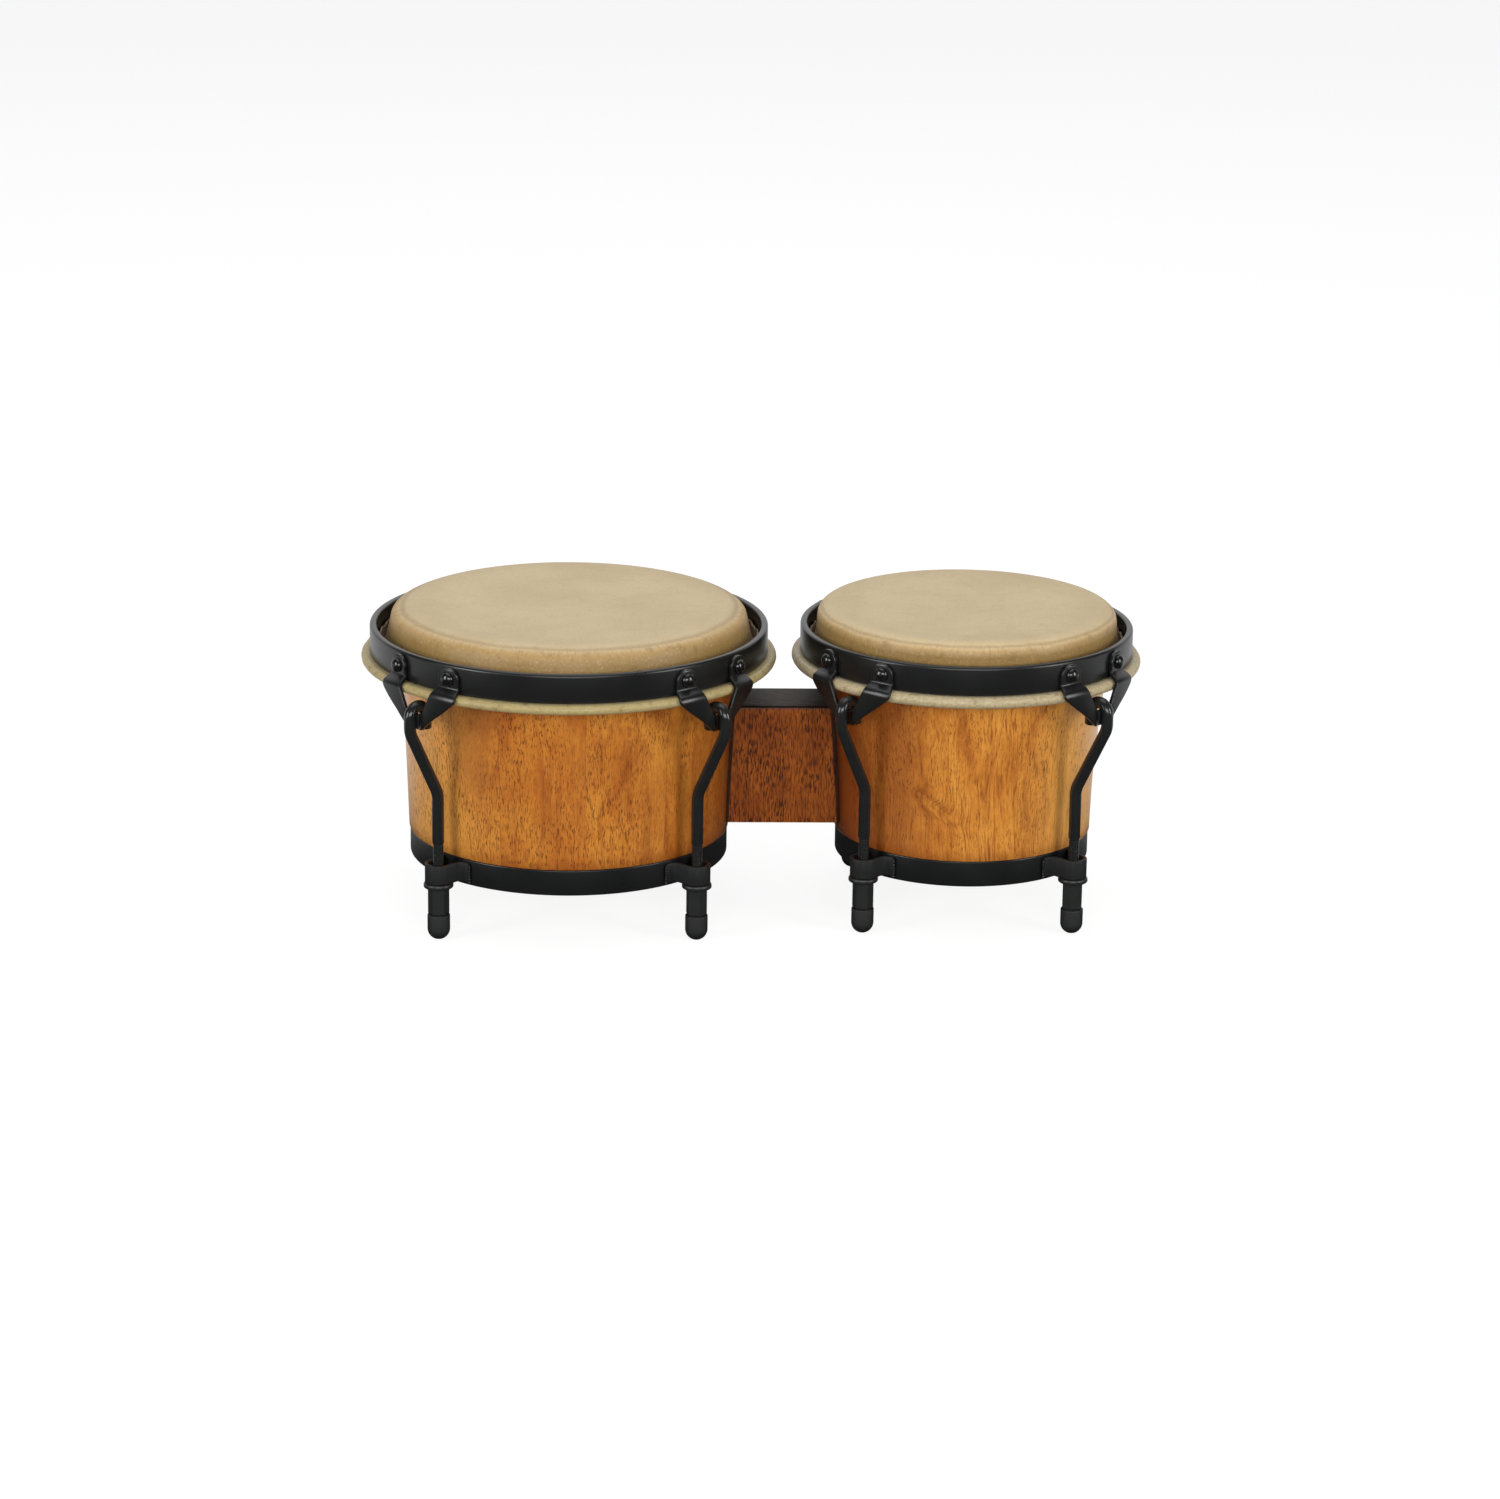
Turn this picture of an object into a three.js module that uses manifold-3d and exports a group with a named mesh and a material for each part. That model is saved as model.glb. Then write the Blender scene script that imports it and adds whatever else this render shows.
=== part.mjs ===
// A pair of bongo drums joined by a wooden centre block.
// Millimetres, +Z up. Z = 0 is the underside of the rubber tips, X = 0 the middle of the
// overall width, Y = 0 the plane through both drum axes. The players' side faces -Y.
import * as THREE from 'three';
import { mergeVertices } from 'three/addons/utils/BufferGeometryUtils.js';
import Module from 'manifold-3d';

const { degToRad, lerp, mapLinear } = THREE.MathUtils;

// ------------------------------------------------------------------ driving dimensions
const DRUM_SEGMENTS = 36;
const GAP = 0.3;                   // clearance between neighbouring pieces
const OVERLAP = 1;                 // joined parts run this far into each other
const CUT_PAST = 1;                // cutters run this far past what they cut

// Radii are about the drum's own axis.
// crown: the head's shoulder, rows of [in from headR, down from the top]
// shellOut: the shell's outside, rows of [z, radius]
const DRUMS = {
  large: {                         // 8-1/2 in drum
    axisX: -108.43,
    rimR: 118.0,                   // outside of the rim
    headR: 107.0,                  // head below the crown's shoulder
    crown: [[11.0, 0], [5.6, 2.2], [2.1, 4.8], [0.9, 9.5]],
    beadOut: 5.1,                  // wrapped flesh hoop stands this far outside the rim
    beadR: 3.1,                    // section of the wrapped bead
    wireR: 1.4,                    // section of the wire inside it
    rodR: 107.0,                   // straight part of the tuning rods
    ringR: 94.9,                   // outside of the bottom ring
    shellOut: [[48.4, 95.5], [80, 96.6], [113, 98.1], [146, 100.9], [157, 102.6], [167, 104.1]],
    edgeR: 104.8,                  // outside of the bearing edge
  },
  small: {                         // 7 in drum
    axisX: 127.73,
    rimR: 98.8,
    headR: 89.1,
    crown: [[6.2, 0], [2.6, 2.1], [0.5, 4.8], [0.1, 9.5]],
    beadOut: 5.0,
    beadR: 3.5,
    wireR: 1.9,
    rodR: 87.7,
    ringR: 76.0,
    shellOut: [[48.4, 76.8], [80, 77.8], [113, 80.4], [146, 83.9], [157, 85.6], [167, 86.8]],
    edgeR: 87.2,
  },
};

const LUGS = { fl: -135, fr: -45, br: 45, bl: 135 };   // directions, degrees from +X

const HEAD_TOP = 184.0;            // playing surface
const SKIN = 1.3;                  // hide thickness
const BEAD_TOP = 155.8;            // top of the wrapped bead, under the rim
const RIM = { bottom: 156.1, top: 173.1, wall: 4.2, easeR: 1.3, easeZ: 1.2 };
const RING = { bottom: 32.7, top: 48.1, wall: 2.5 };   // bottom ring band

const BOLT_Z = { low: 72, high: 109 };
const BOLT_R = 3.9;
const BOLT_HOLE_R = BOLT_R + 0.4;

// ------------------------------------------------------------------ solids and meshes
const wasm = await Module();
wasm.setup();

// six times the signed volume, negative when the faces point inwards
function signedVolume(p, tri) {
  let sum = 0;
  for (let i = 0; i < tri.length; i += 3) {
    const [a, b, c] = [tri[i] * 3, tri[i + 1] * 3, tri[i + 2] * 3];
    sum += p[a] * (p[b + 1] * p[c + 2] - p[b + 2] * p[c + 1])
      - p[a + 1] * (p[b] * p[c + 2] - p[b + 2] * p[c])
      + p[a + 2] * (p[b] * p[c + 1] - p[b + 1] * p[c]);
  }
  return sum;
}

// welds a geometry, drops its collapsed triangles and turns its faces outwards
function solid(geom) {
  const bare = geom.clone();
  for (const name of Object.keys(bare.attributes)) {
    if (name !== 'position') bare.deleteAttribute(name);
  }
  const welded = mergeVertices(bare, 1e-4);
  const positions = welded.attributes.position.array;
  const index = welded.index.array;
  const tri = [];
  for (let i = 0; i < index.length; i += 3) {
    const [a, b, c] = [index[i], index[i + 1], index[i + 2]];
    if (a !== b && b !== c && c !== a) tri.push(a, b, c);
  }
  if (signedVolume(positions, tri) < 0) {
    for (let i = 0; i < tri.length; i += 3) [tri[i], tri[i + 1]] = [tri[i + 1], tri[i]];
  }
  return new wasm.Manifold(new wasm.Mesh({
    numProp: 3,
    vertProperties: Float32Array.from(positions),
    triVerts: Uint32Array.from(tri),
  }));
}

function toGeometry(body) {
  const mesh = body.getMesh();
  const geom = new THREE.BufferGeometry();
  const positions = Float32Array.from(mesh.vertProperties);
  geom.setAttribute('position', new THREE.BufferAttribute(positions, 3));
  geom.setIndex(new THREE.BufferAttribute(Uint32Array.from(mesh.triVerts), 1));
  geom.computeVertexNormals();
  return geom;
}

const group = new THREE.Group();

function put(name, body, material, x = 0, parent = group) {
  const mesh = new THREE.Mesh(toGeometry(body), material.clone());
  mesh.name = name;
  mesh.position.x = x;
  parent.add(mesh);
}

const finish = (color, roughness, metalness) => (
  new THREE.MeshStandardMaterial({ color, roughness, metalness }));
// columns: colour, roughness, metalness
const STEEL_BLACK = finish(0x1d1f20, 0.42, 0.5);
const SHELL_WOOD = finish(0xb87331, 0.38, 0.0);
const BLOCK_WOOD = finish(0x7a461f, 0.42, 0.0);
const HIDE = finish(0xc6b592, 0.6, 0.0);
const RUBBER = finish(0x1c1d1f, 0.8, 0.0);
const PLATED = finish(0xb9bcbd, 0.35, 0.9);
const BRASS = finish(0xb89b55, 0.4, 0.9);

// ------------------------------------------------------------------ shape helpers
// profile of [radius, z] turned round Z
function lathe(profile, segments = DRUM_SEGMENTS) {
  const geom = new THREE.LatheGeometry(profile.map(([r, z]) => new THREE.Vector2(r, z)), segments);
  return geom.rotateX(Math.PI / 2);
}
const closed = (profile) => [...profile, profile[0]];

// a tube of rectangular section round Z
const band = (inner, outer, z0, z1) => (
  closed([[inner, z0], [outer, z0], [outer, z1], [inner, z1]]));

function cylinder(radius, z0, z1, segments) {
  const geom = new THREE.CylinderGeometry(radius, radius, z1 - z0, segments);
  return geom.rotateX(Math.PI / 2).translate(0, 0, (z0 + z1) / 2);
}

const outline = (points) => new THREE.Shape(points.map(([x, y]) => new THREE.Vector2(x, y)));

function prism(points, z0, z1) {
  const options = { depth: z1 - z0, bevelEnabled: false, steps: 1 };
  return new THREE.ExtrudeGeometry(outline(points), options).translate(0, 0, z0);
}

// points on a circle about [x, y], one for each angle in degrees
const arc = (x, y, radius, angles) => angles.map((deg) => {
  const a = degToRad(deg);
  return [x + radius * Math.cos(a), y + radius * Math.sin(a)];
});
const angleSteps = (start, step, count) => Array.from({ length: count }, (_, i) => start + step * i);

// direction of a line of points at point i, halfway between its two neighbouring segments
function tangentAt(points, i) {
  const before = points[i].clone().sub(points[Math.max(i - 1, 0)]).normalize();
  const after = points[Math.min(i + 1, points.length - 1)].clone().sub(points[i]).normalize();
  return before.add(after).normalize();
}

// A path known at stations, so that a swept section lands exactly on each of them.
class StationPath extends THREE.Curve {
  constructor(points) {
    super();
    this.points = points;
    this.last = points.length - 1;
  }

  getPointAt(t, target = new THREE.Vector3()) {
    const along = t * this.last;
    const i = Math.min(Math.floor(along), this.last - 1);
    return target.copy(this.points[i]).lerp(this.points[i + 1], along - i);
  }

  getTangentAt(t, target = new THREE.Vector3()) {
    return target.copy(tangentAt(this.points, Math.round(t * this.last)));
  }
}

// lays a Z part along X at height z, its +Z end pointing from the drum axis to the block
function alongX(geom, drum, z) {
  return geom.rotateY(-Math.sign(drum.axisX) * Math.PI / 2).translate(0, 0, z);
}

// ------------------------------------------------------------------ shell
const SHELL_BOTTOM = 33.3;
const WALL = 11.0;
const EDGE = {
  outerZ: 171.5,                   // where the outside reaches edgeR
  lipIn: 1.8, lipDown: 1.2,        // first point inside the crown, from the crown's inner end
  footIn: 9.6, footZ: 172,         // foot of the inside slope, in from edgeR
};
// inside of the shell: [z, height the wall is measured at, extra wall]
const SHELL_INSIDE = [[147, 146, 0], [84, 90, 0.8], [SHELL_BOTTOM, 50, 1.5]];
const SEAT = { depth: 2.4, radius: 11, from: 40 };     // washer seats cut into the wall
const SHELL_HOLE = [20, 130];      // span of the bolt hole cutter, from the drum axis

// outer radius of the shell at height z
function shellRadius({ shellOut }, z) {
  const above = shellOut.findIndex(([rowZ]) => z <= rowZ);
  const [z0, r0] = shellOut[above - 1];
  const [z1, r1] = shellOut[above];
  return mapLinear(z, z0, z1, r0, r1);
}
const insideRadius = (drum, z) => shellRadius(drum, z) - WALL;

// seat plane of a washer, and the block's end face, both measured from the drum axis
const seatAt = (drum, z) => insideRadius(drum, z) + SEAT.depth;
const blockFaceAt = (drum, z) => shellRadius(drum, z) + GAP;

// outward directions [radius, z] at the points of the crown
const CROWN_NORMALS = [[0, 1], [0.45, 0.89], [0.86, 0.51], [0.99, 0.12]];

// the shoulder's line, moved into the skin by depth
function crownLine({ headR, crown }, depth) {
  return crown.map(([back, down], i) => {
    const [normalR, normalZ] = CROWN_NORMALS[i];
    return [headR - back - depth * normalR, HEAD_TOP - down - depth * normalZ];
  });
}

function shellProfile(drum) {
  const { shellOut, edgeR, headR, crown } = drum;
  const rebateR = drum.ringR - RING.wall - GAP;        // rebate for the bottom ring
  const underSkin = SKIN + GAP;
  return closed([
    [rebateR, SHELL_BOTTOM],
    [rebateR, shellOut[0][0]],
    ...shellOut.map(([z, r]) => [r, z]),
    [edgeR, EDGE.outerZ],
    ...crownLine(drum, underSkin).reverse(),
    [headR - crown[0][0] - EDGE.lipIn, HEAD_TOP - underSkin - EDGE.lipDown],
    [edgeR - EDGE.footIn, EDGE.footZ],
    ...SHELL_INSIDE.map(([z, wallZ, extra]) => [insideRadius(drum, wallZ) - extra, z]),
  ]);
}

function shell(drum) {
  let body = solid(lathe(shellProfile(drum)));
  for (const z of Object.values(BOLT_Z)) {
    const hole = alongX(cylinder(BOLT_HOLE_R, ...SHELL_HOLE, 12), drum, z);
    const seat = alongX(cylinder(SEAT.radius, SEAT.from, seatAt(drum, z), 24), drum, z);
    body = body.subtract(solid(hole)).subtract(solid(seat));
  }
  return body;
}

// ------------------------------------------------------------------ head and flesh hoop
const SKIRT = {
  upperOut: 0.1, upperZ: 167.5,    // point below the crown, out from headR
  flareRimGap: 1.0,                // the flare aims this far inside the rim wall
  flareShare: 0.35, flareZ: 159.0, // share of the way there, and its height
  meetShare: 0.95, meetDown: 0.6,  // where it meets the bead: share of its radius, drop
};
const WRAP_ANGLES = [228, 285, 345, 40, 92];           // round the bead, under and outside
const TAIL = {                     // tucked edge of the skin
  rimGap: 1.5,                     // inside the rim wall
  foot: [[0.9, -0.35], [-0.1, 1.6]],                   // [out from there, up from the wrap]
  topIn: 0.2, top: 166.2,
};

// centre of the bead's section, [radius, z]
const beadCentre = ({ rimR, beadOut, beadR }) => [rimR + beadOut - beadR, BEAD_TOP - beadR];

function skinCentreLine(drum) {
  const { headR } = drum;
  const [hoopR, hoopZ] = beadCentre(drum);
  const wrapR = drum.beadR - SKIN / 2;
  const rimInside = drum.rimR - RIM.wall;
  const tailR = rimInside - TAIL.rimGap;
  return [
    ...crownLine(drum, SKIN / 2),
    [headR + SKIRT.upperOut, SKIRT.upperZ],
    [lerp(headR, rimInside - SKIRT.flareRimGap, SKIRT.flareShare), SKIRT.flareZ],
    [hoopR - wrapR * SKIRT.meetShare, hoopZ - SKIRT.meetDown],
    ...arc(hoopR, hoopZ, wrapR, WRAP_ANGLES),
    ...TAIL.foot.map(([out, up]) => [tailR + out, hoopZ + wrapR + up]),
    [tailR - TAIL.topIn, TAIL.top],
  ];
}

function head(drum) {
  const line = skinCentreLine(drum);
  const outside = [];
  const inside = [];
  line.forEach(([r, z], i) => {
    const [r0, z0] = line[Math.max(i - 1, 0)];
    const [r1, z1] = line[Math.min(i + 1, line.length - 1)];
    const length = Math.hypot(r1 - r0, z1 - z0);
    // the first point ends the flat of the head, so the line is level there
    const [alongR, alongZ] = i === 0 ? [1, 0] : [(r1 - r0) / length, (z1 - z0) / length];
    outside.push([r - alongZ * SKIN / 2, z + alongR * SKIN / 2]);
    inside.push([r + alongZ * SKIN / 2, z - alongR * SKIN / 2]);
  });
  return solid(lathe([[0, HEAD_TOP], ...outside, ...inside.reverse(), [0, HEAD_TOP - SKIN]]));
}

function fleshHoop(drum) {
  return solid(lathe(closed(arc(...beadCentre(drum), drum.wireR, angleSteps(0, -72, 5)))));
}

// ------------------------------------------------------------------ rim, rivets, ear brackets
const ARC_OUT = 4;                 // lengths along the rim are taken this far outside it
const PLATE = 2.4;                 // ear bracket thickness
const PLATE_MID = GAP + PLATE / 2; // its mid surface where it lies on the rim
const TAB = { along: 21.4, halfWidth: 7.2, z: 164.9, rise: 6.6 };   // riveted tabs of a bracket
const RIVET = {
  shankR: 2.6, headR: 4.2, domeR: 3.3,
  inner: -1.2,                     // shank's inner end, from the rim's outside
  domeZ: 1.7, headZ: 2.6,          // heights on the head
};
const RIVET_CUT = { half: 6, out: 1.5 };               // half length, centre outside the rim

// Stations along one arm of the bracket, from below its tab to beside the middle.
// Columns: inner edge [along, z], outer edge [along, z], mid surface outside the rim;
// along is the length round the rim from the middle of the lug.
const BRACKET_ARM = [
  [14.2, 159.2, 28.7, 159.0, PLATE_MID],
  [14.1, 158.3, 28.8, 158.0, PLATE_MID + 0.4],
  [13.8, 155.9, 29.2, 155.4, 6.2],
  [13.5, 154.7, 29.4, 153.9, 6.9],
  [10.2, 149.1, 21.0, 145.3, 6.9],
  [8.4, 146.1, 14.5, 140.5, 6.9],
  [6.8, 143.3, 9.0, 136.4, 6.9],
  [5.2, 141.3, 6.0, 134.1, 6.6],
  [3.6, 139.6, 3.7, 133.0, 4.8],
];
const BRACKET_MIDDLE = [0, 139.4, 0, 132.6, 3.4];

const rimAngle = (drum, along) => along / (drum.rimR + ARC_OUT);

// rivet at +X: shank from inside the rim wall, domed head outside the tab
function rivet(drum) {
  const under = GAP + PLATE + GAP;
  const geom = lathe([[0, RIVET.inner], [RIVET.shankR, RIVET.inner], [RIVET.shankR, under],
    [RIVET.headR, under], [RIVET.domeR, under + RIVET.domeZ], [0, under + RIVET.headZ]], 8);
  return geom.rotateY(Math.PI / 2).translate(drum.rimR, 0, TAB.z);
}

function rim(drum) {
  const outer = drum.rimR;
  const inner = outer - RIM.wall;
  const { bottom, top, easeR, easeZ } = RIM;
  let body = solid(lathe(closed([[inner, bottom], [outer, bottom], [outer, top - easeZ],
    [outer - easeR, top], [inner + easeR, top], [inner, top - easeZ]])));
  for (const deg of Object.values(LUGS)) {
    for (const side of [-1, 1]) {
      const turn = degToRad(deg) + side * rimAngle(drum, TAB.along);
      body = body.add(solid(rivet(drum).rotateZ(turn)));
    }
  }
  return body;
}

function bracketStations() {
  const roundedTop = [68, 35, 0].map((deg) => {
    const a = degToRad(deg);
    const half = TAB.halfWidth * Math.cos(a);
    const z = TAB.z + TAB.rise * Math.sin(a);
    return [TAB.along - half, z, TAB.along + half, z, PLATE_MID];
  });
  const arm = [...roundedTop, ...BRACKET_ARM];
  const mirrored = arm.map(([inner, innerZ, outer, outerZ, out]) => (
    [-inner, innerZ, -outer, outerZ, out])).reverse();
  return [...arm, BRACKET_MIDDLE, ...mirrored];
}

// plate between two edge lines, thickened evenly to both sides
function plateBetween(edgeA, edgeB) {
  const corners = edgeA.flatMap((start, i) => {
    const across = edgeB[i].clone().sub(start).normalize();
    const [normalA, normalB] = [edgeA, edgeB].map((edge) => {
      const normal = new THREE.Vector3().crossVectors(across, tangentAt(edge, i)).normalize();
      const pointsIn = normal.x * start.x + normal.y * start.y < 0;
      return pointsIn ? normal.negate() : normal;
    });
    const shifted = (point, normal, side) => point.clone().addScaledVector(normal, side * PLATE / 2);
    return [shifted(start, normalA, 1), shifted(edgeB[i], normalB, 1),
      shifted(edgeB[i], normalB, -1), shifted(start, normalA, -1)];
  });
  const end = corners.length - 4;
  const tri = [];
  for (let base = 0; base < end; base += 4) {
    for (let k = 0; k < 4; k++) {
      const next = (k + 1) % 4;
      tri.push(base + k, base + next, base + 4 + next);
      tri.push(base + k, base + 4 + next, base + 4 + k);
    }
  }
  tri.push(0, 2, 1, 0, 3, 2);
  tri.push(end, end + 1, end + 2, end, end + 2, end + 3);
  return new THREE.BufferGeometry().setFromPoints(corners).setIndex(tri);
}

// ear bracket with its lug direction along +X
function earBracket(drum) {
  const onRim = (along, z, out) => {
    const a = rimAngle(drum, along);
    const r = drum.rimR + out;
    return new THREE.Vector3(r * Math.cos(a), r * Math.sin(a), z);
  };
  const stations = bracketStations();
  const innerEdge = stations.map(([along, z, , , out]) => onRim(along, z, out));
  const outerEdge = stations.map(([, , along, z, out]) => onRim(along, z, out));
  let body = solid(plateBetween(innerEdge, outerEdge));
  for (const side of [-1, 1]) {
    const hole = cylinder(RIVET.shankR + GAP, -RIVET_CUT.half, RIVET_CUT.half, 8)
      .rotateY(Math.PI / 2)
      .translate(drum.rimR + RIVET_CUT.out, 0, TAB.z)
      .rotateZ(side * rimAngle(drum, TAB.along));
    body = body.subtract(solid(hole));
  }
  return body;
}

// ------------------------------------------------------------------ tuning rod, nut and tip
const ROD_R = 3.5;                 // shank
const THREAD = { radius: 3.1, bottom: 9.6, top: 58.3, ease: 0.8 };  // 1/4-20, plain cylinder
const CRANK = { low: 88.9, high: 130.4 };              // heights of the rod's two bends
// each bend: start before and after it along Z, and the point just before it
const BEND = { straight: 3.2, slanted: 3.0, near: 0.5, nearShift: 0.35 };
const HOOK = {
  out: 8.7,                        // outer leg, outside the rim
  in: -1.7,                        // inner leg, likewise
  z: 139.0,                        // centre of the arc
  end: 132.1,
};
const TIP = {
  radius: 6.65, top: 15.1, ease: 0.7,
  floor: 5.2,                      // bottom of the socket
  nose: [[0, 0], [2.2, 0], [4.5, 1.2], [6.0, 3.3]],    // [radius, z]
  sideZ: 6.2,                      // straight side starts here
};
const NUT = {
  top: 34.6, flangeR: 8.7, flangeT: 3.0,
  acrossFlats: 11.1,               // 7/16 in
  stubR: 5.0, stubBottom: 6.4,
  boreR: 3.5, boreSpan: [0, 40],
};

// rod in the XZ plane, x measured from the drum axis
function tuningRod(drum) {
  const { rodR } = drum;
  const outerX = drum.rimR + HOOK.out;
  const innerX = drum.rimR + HOOK.in;
  const slope = (outerX - rodR) / (CRANK.high - CRANK.low);
  const hookR = (outerX - innerX) / 2;
  const line = [
    [rodR, THREAD.top],
    [rodR, CRANK.low - BEND.straight],
    [rodR + BEND.nearShift, CRANK.low - BEND.near],
    [rodR + slope * BEND.slanted, CRANK.low + BEND.slanted],
    [outerX - slope * BEND.slanted, CRANK.high - BEND.slanted],
    [outerX - BEND.nearShift, CRANK.high + BEND.near],
    [outerX, CRANK.high + BEND.straight],
    ...arc(innerX + hookR, HOOK.z, hookR, angleSteps(0, 36, 6)),
    [innerX, HOOK.end],
  ];
  const section = outline(arc(0, 0, ROD_R, angleSteps(22.5, 45, 8)));
  const shank = new THREE.ExtrudeGeometry(section, {
    steps: line.length - 1,
    extrudePath: new StationPath(line.map(([x, z]) => new THREE.Vector3(x, 0, z))),
    bevelEnabled: false,
  });
  const { radius, bottom, ease } = THREAD;
  const top = THREAD.top + OVERLAP;
  const thread = lathe([[0, bottom], [radius - ease, bottom], [radius, bottom + ease],
    [radius, top], [0, top]], 8);
  return solid(shank).add(solid(thread.translate(rodR, 0, 0)));
}

function tuningNut() {
  const { top, flangeR, flangeT } = NUT;
  const hexagon = arc(0, 0, NUT.acrossFlats / Math.sqrt(3), angleSteps(0, 60, 6));
  const flange = lathe([[0, top - flangeT], [flangeR, top - flangeT], [flangeR, top], [0, top]], 16);
  const shank = prism(hexagon, TIP.top + GAP, top - OVERLAP);
  const stub = cylinder(NUT.stubR, NUT.stubBottom, TIP.top + OVERLAP, 10);
  const bore = cylinder(NUT.boreR, ...NUT.boreSpan, 10);
  return solid(flange).add(solid(shank)).add(solid(stub)).subtract(solid(bore));
}

function rubberTip() {
  const { radius, top, ease, floor } = TIP;
  const socketR = NUT.stubR + GAP;
  return solid(lathe([...TIP.nose, [radius, TIP.sideZ], [radius, top - ease],
    [radius - ease, top], [socketR, top], [socketR, floor], [0, floor]], 10));
}

// ------------------------------------------------------------------ bottom ring
const LOOP = {                     // strap looped round each rod, narrower than the band
  outerR: 8.0, innerR: 5.9, bottom: 34.9, top: 46.6,
  back: 2.2,                       // strap's ends, inside the ring's outer radius
  slotBack: 4,                     // likewise for the slot
  coreIn: 1.2,                     // straps are trimmed this far inside it
};
const STRAP_FLARE = [[0.9, 13.4], [2.4, 9.2]];         // [out from the ring, half width]

function bottomRing(drum) {
  const { ringR, rodR } = drum;
  const halfTurn = angleSteps(-90, 30, 7);
  const flare = STRAP_FLARE.map(([out, half]) => [ringR + out, half]);
  const backHalf = STRAP_FLARE[0][1];
  const strap = prism([
    [ringR - LOOP.back, -backHalf],
    ...flare.map(([x, half]) => [x, -half]),
    ...arc(rodR, 0, LOOP.outerR, halfTurn),
    ...flare.reverse(),
    [ringR - LOOP.back, backHalf],
  ], LOOP.bottom, LOOP.top);
  const cutBottom = RING.bottom - CUT_PAST;
  const cutTop = RING.top + CUT_PAST;
  const slot = prism([
    [ringR - LOOP.slotBack, -LOOP.innerR],
    ...arc(rodR, 0, LOOP.innerR, halfTurn),
    [ringR - LOOP.slotBack, LOOP.innerR],
  ], cutBottom, cutTop);
  const coreR = ringR - LOOP.coreIn;
  const core = solid(lathe([[0, cutBottom], [coreR, cutBottom], [coreR, cutTop], [0, cutTop]]));
  const loop = solid(strap).subtract(solid(slot));

  let body = solid(lathe(band(ringR - RING.wall, ringR, RING.bottom, RING.top)));
  for (const deg of Object.values(LUGS)) {
    body = body.add(loop.rotate([0, 0, deg]).subtract(core));
  }
  return body;
}

// ------------------------------------------------------------------ block fastenings
const WASHER = { radius: 9, thick: 1.8 };
const BOLT_HEAD = { radius: 6.6, length: 5.0, easeR: 1.4, easeLength: 1.8 };
const BOLT_END = { reach: 13, ease: 0.8 };             // reach into the block
const INSERT = { radius: 6, from: 1.2, to: 14 };       // depths into the block
const INSERT_HOLE = { before: 6, past: 16 };           // cutter, either side of the block's face

function blockWasher(drum, z) {
  const outer = seatAt(drum, z) - GAP;
  const profile = band(BOLT_HOLE_R, WASHER.radius, outer - WASHER.thick, outer);
  return solid(alongX(lathe(profile, 14), drum, z));
}

function blockBolt(drum, z) {
  const { radius, length, easeR, easeLength } = BOLT_HEAD;
  const under = seatAt(drum, z) - GAP - WASHER.thick - GAP;
  const start = under - length;
  const tip = blockFaceAt(drum, z) + BOLT_END.reach;
  const profile = [[0, start], [radius - easeR, start], [radius, start + easeLength],
    [radius, under], [BOLT_R, under], [BOLT_R, tip - BOLT_END.ease],
    [BOLT_R - BOLT_END.ease, tip], [0, tip]];
  return solid(alongX(lathe(profile, 10), drum, z));
}

function blockInsert(drum, z) {
  const face = blockFaceAt(drum, z);
  const profile = band(BOLT_R + GAP, INSERT.radius, face + INSERT.from, face + INSERT.to);
  return solid(alongX(lathe(profile, 10), drum, z));
}

// ------------------------------------------------------------------ centre block
const BLOCK = {
  halfDepth: 20.1, bottom: 54.0, top: 126.3,
  ease: 1.0,                       // eased long edges
  fromLarge: 80, fromSmall: 60,    // uncut ends, from the drum axes
};
const DRUM_CUT_BOTTOM = 40;

// what the block's end is cut back from
function drumCutter({ shellOut, axisX }) {
  const [[, bottomR], ...upper] = shellOut;
  const [topZ] = shellOut.at(-1);
  const profile = [[0, DRUM_CUT_BOTTOM], [bottomR + GAP, DRUM_CUT_BOTTOM],
    ...upper.map(([z, r]) => [r + GAP, z]), [0, topZ]];
  return solid(lathe(profile)).translate([axisX, 0, 0]);
}

function centreBlock() {
  const { halfDepth: y, bottom, top, ease } = BLOCK;
  const section = [[-y + ease, bottom], [y - ease, bottom], [y, bottom + ease], [y, top - ease],
    [y - ease, top], [-y + ease, top], [-y, top - ease], [-y, bottom + ease]];
  const x0 = DRUMS.large.axisX + BLOCK.fromLarge;
  const x1 = DRUMS.small.axisX - BLOCK.fromSmall;
  // the section is drawn in Y and Z, so the extrusion is turned to run along X
  let body = solid(prism(section, x0, x1).rotateX(Math.PI / 2).rotateZ(Math.PI / 2));
  for (const drum of Object.values(DRUMS)) body = body.subtract(drumCutter(drum));
  for (const drum of Object.values(DRUMS)) {
    for (const z of Object.values(BOLT_Z)) {
      const face = blockFaceAt(drum, z);
      const hole = cylinder(INSERT.radius + GAP, face - INSERT_HOLE.before,
        face + INSERT_HOLE.past, 12);
      body = body.subtract(solid(alongX(hole, drum, z).translate(drum.axisX, 0, 0)));
    }
  }
  return body;
}

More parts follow.
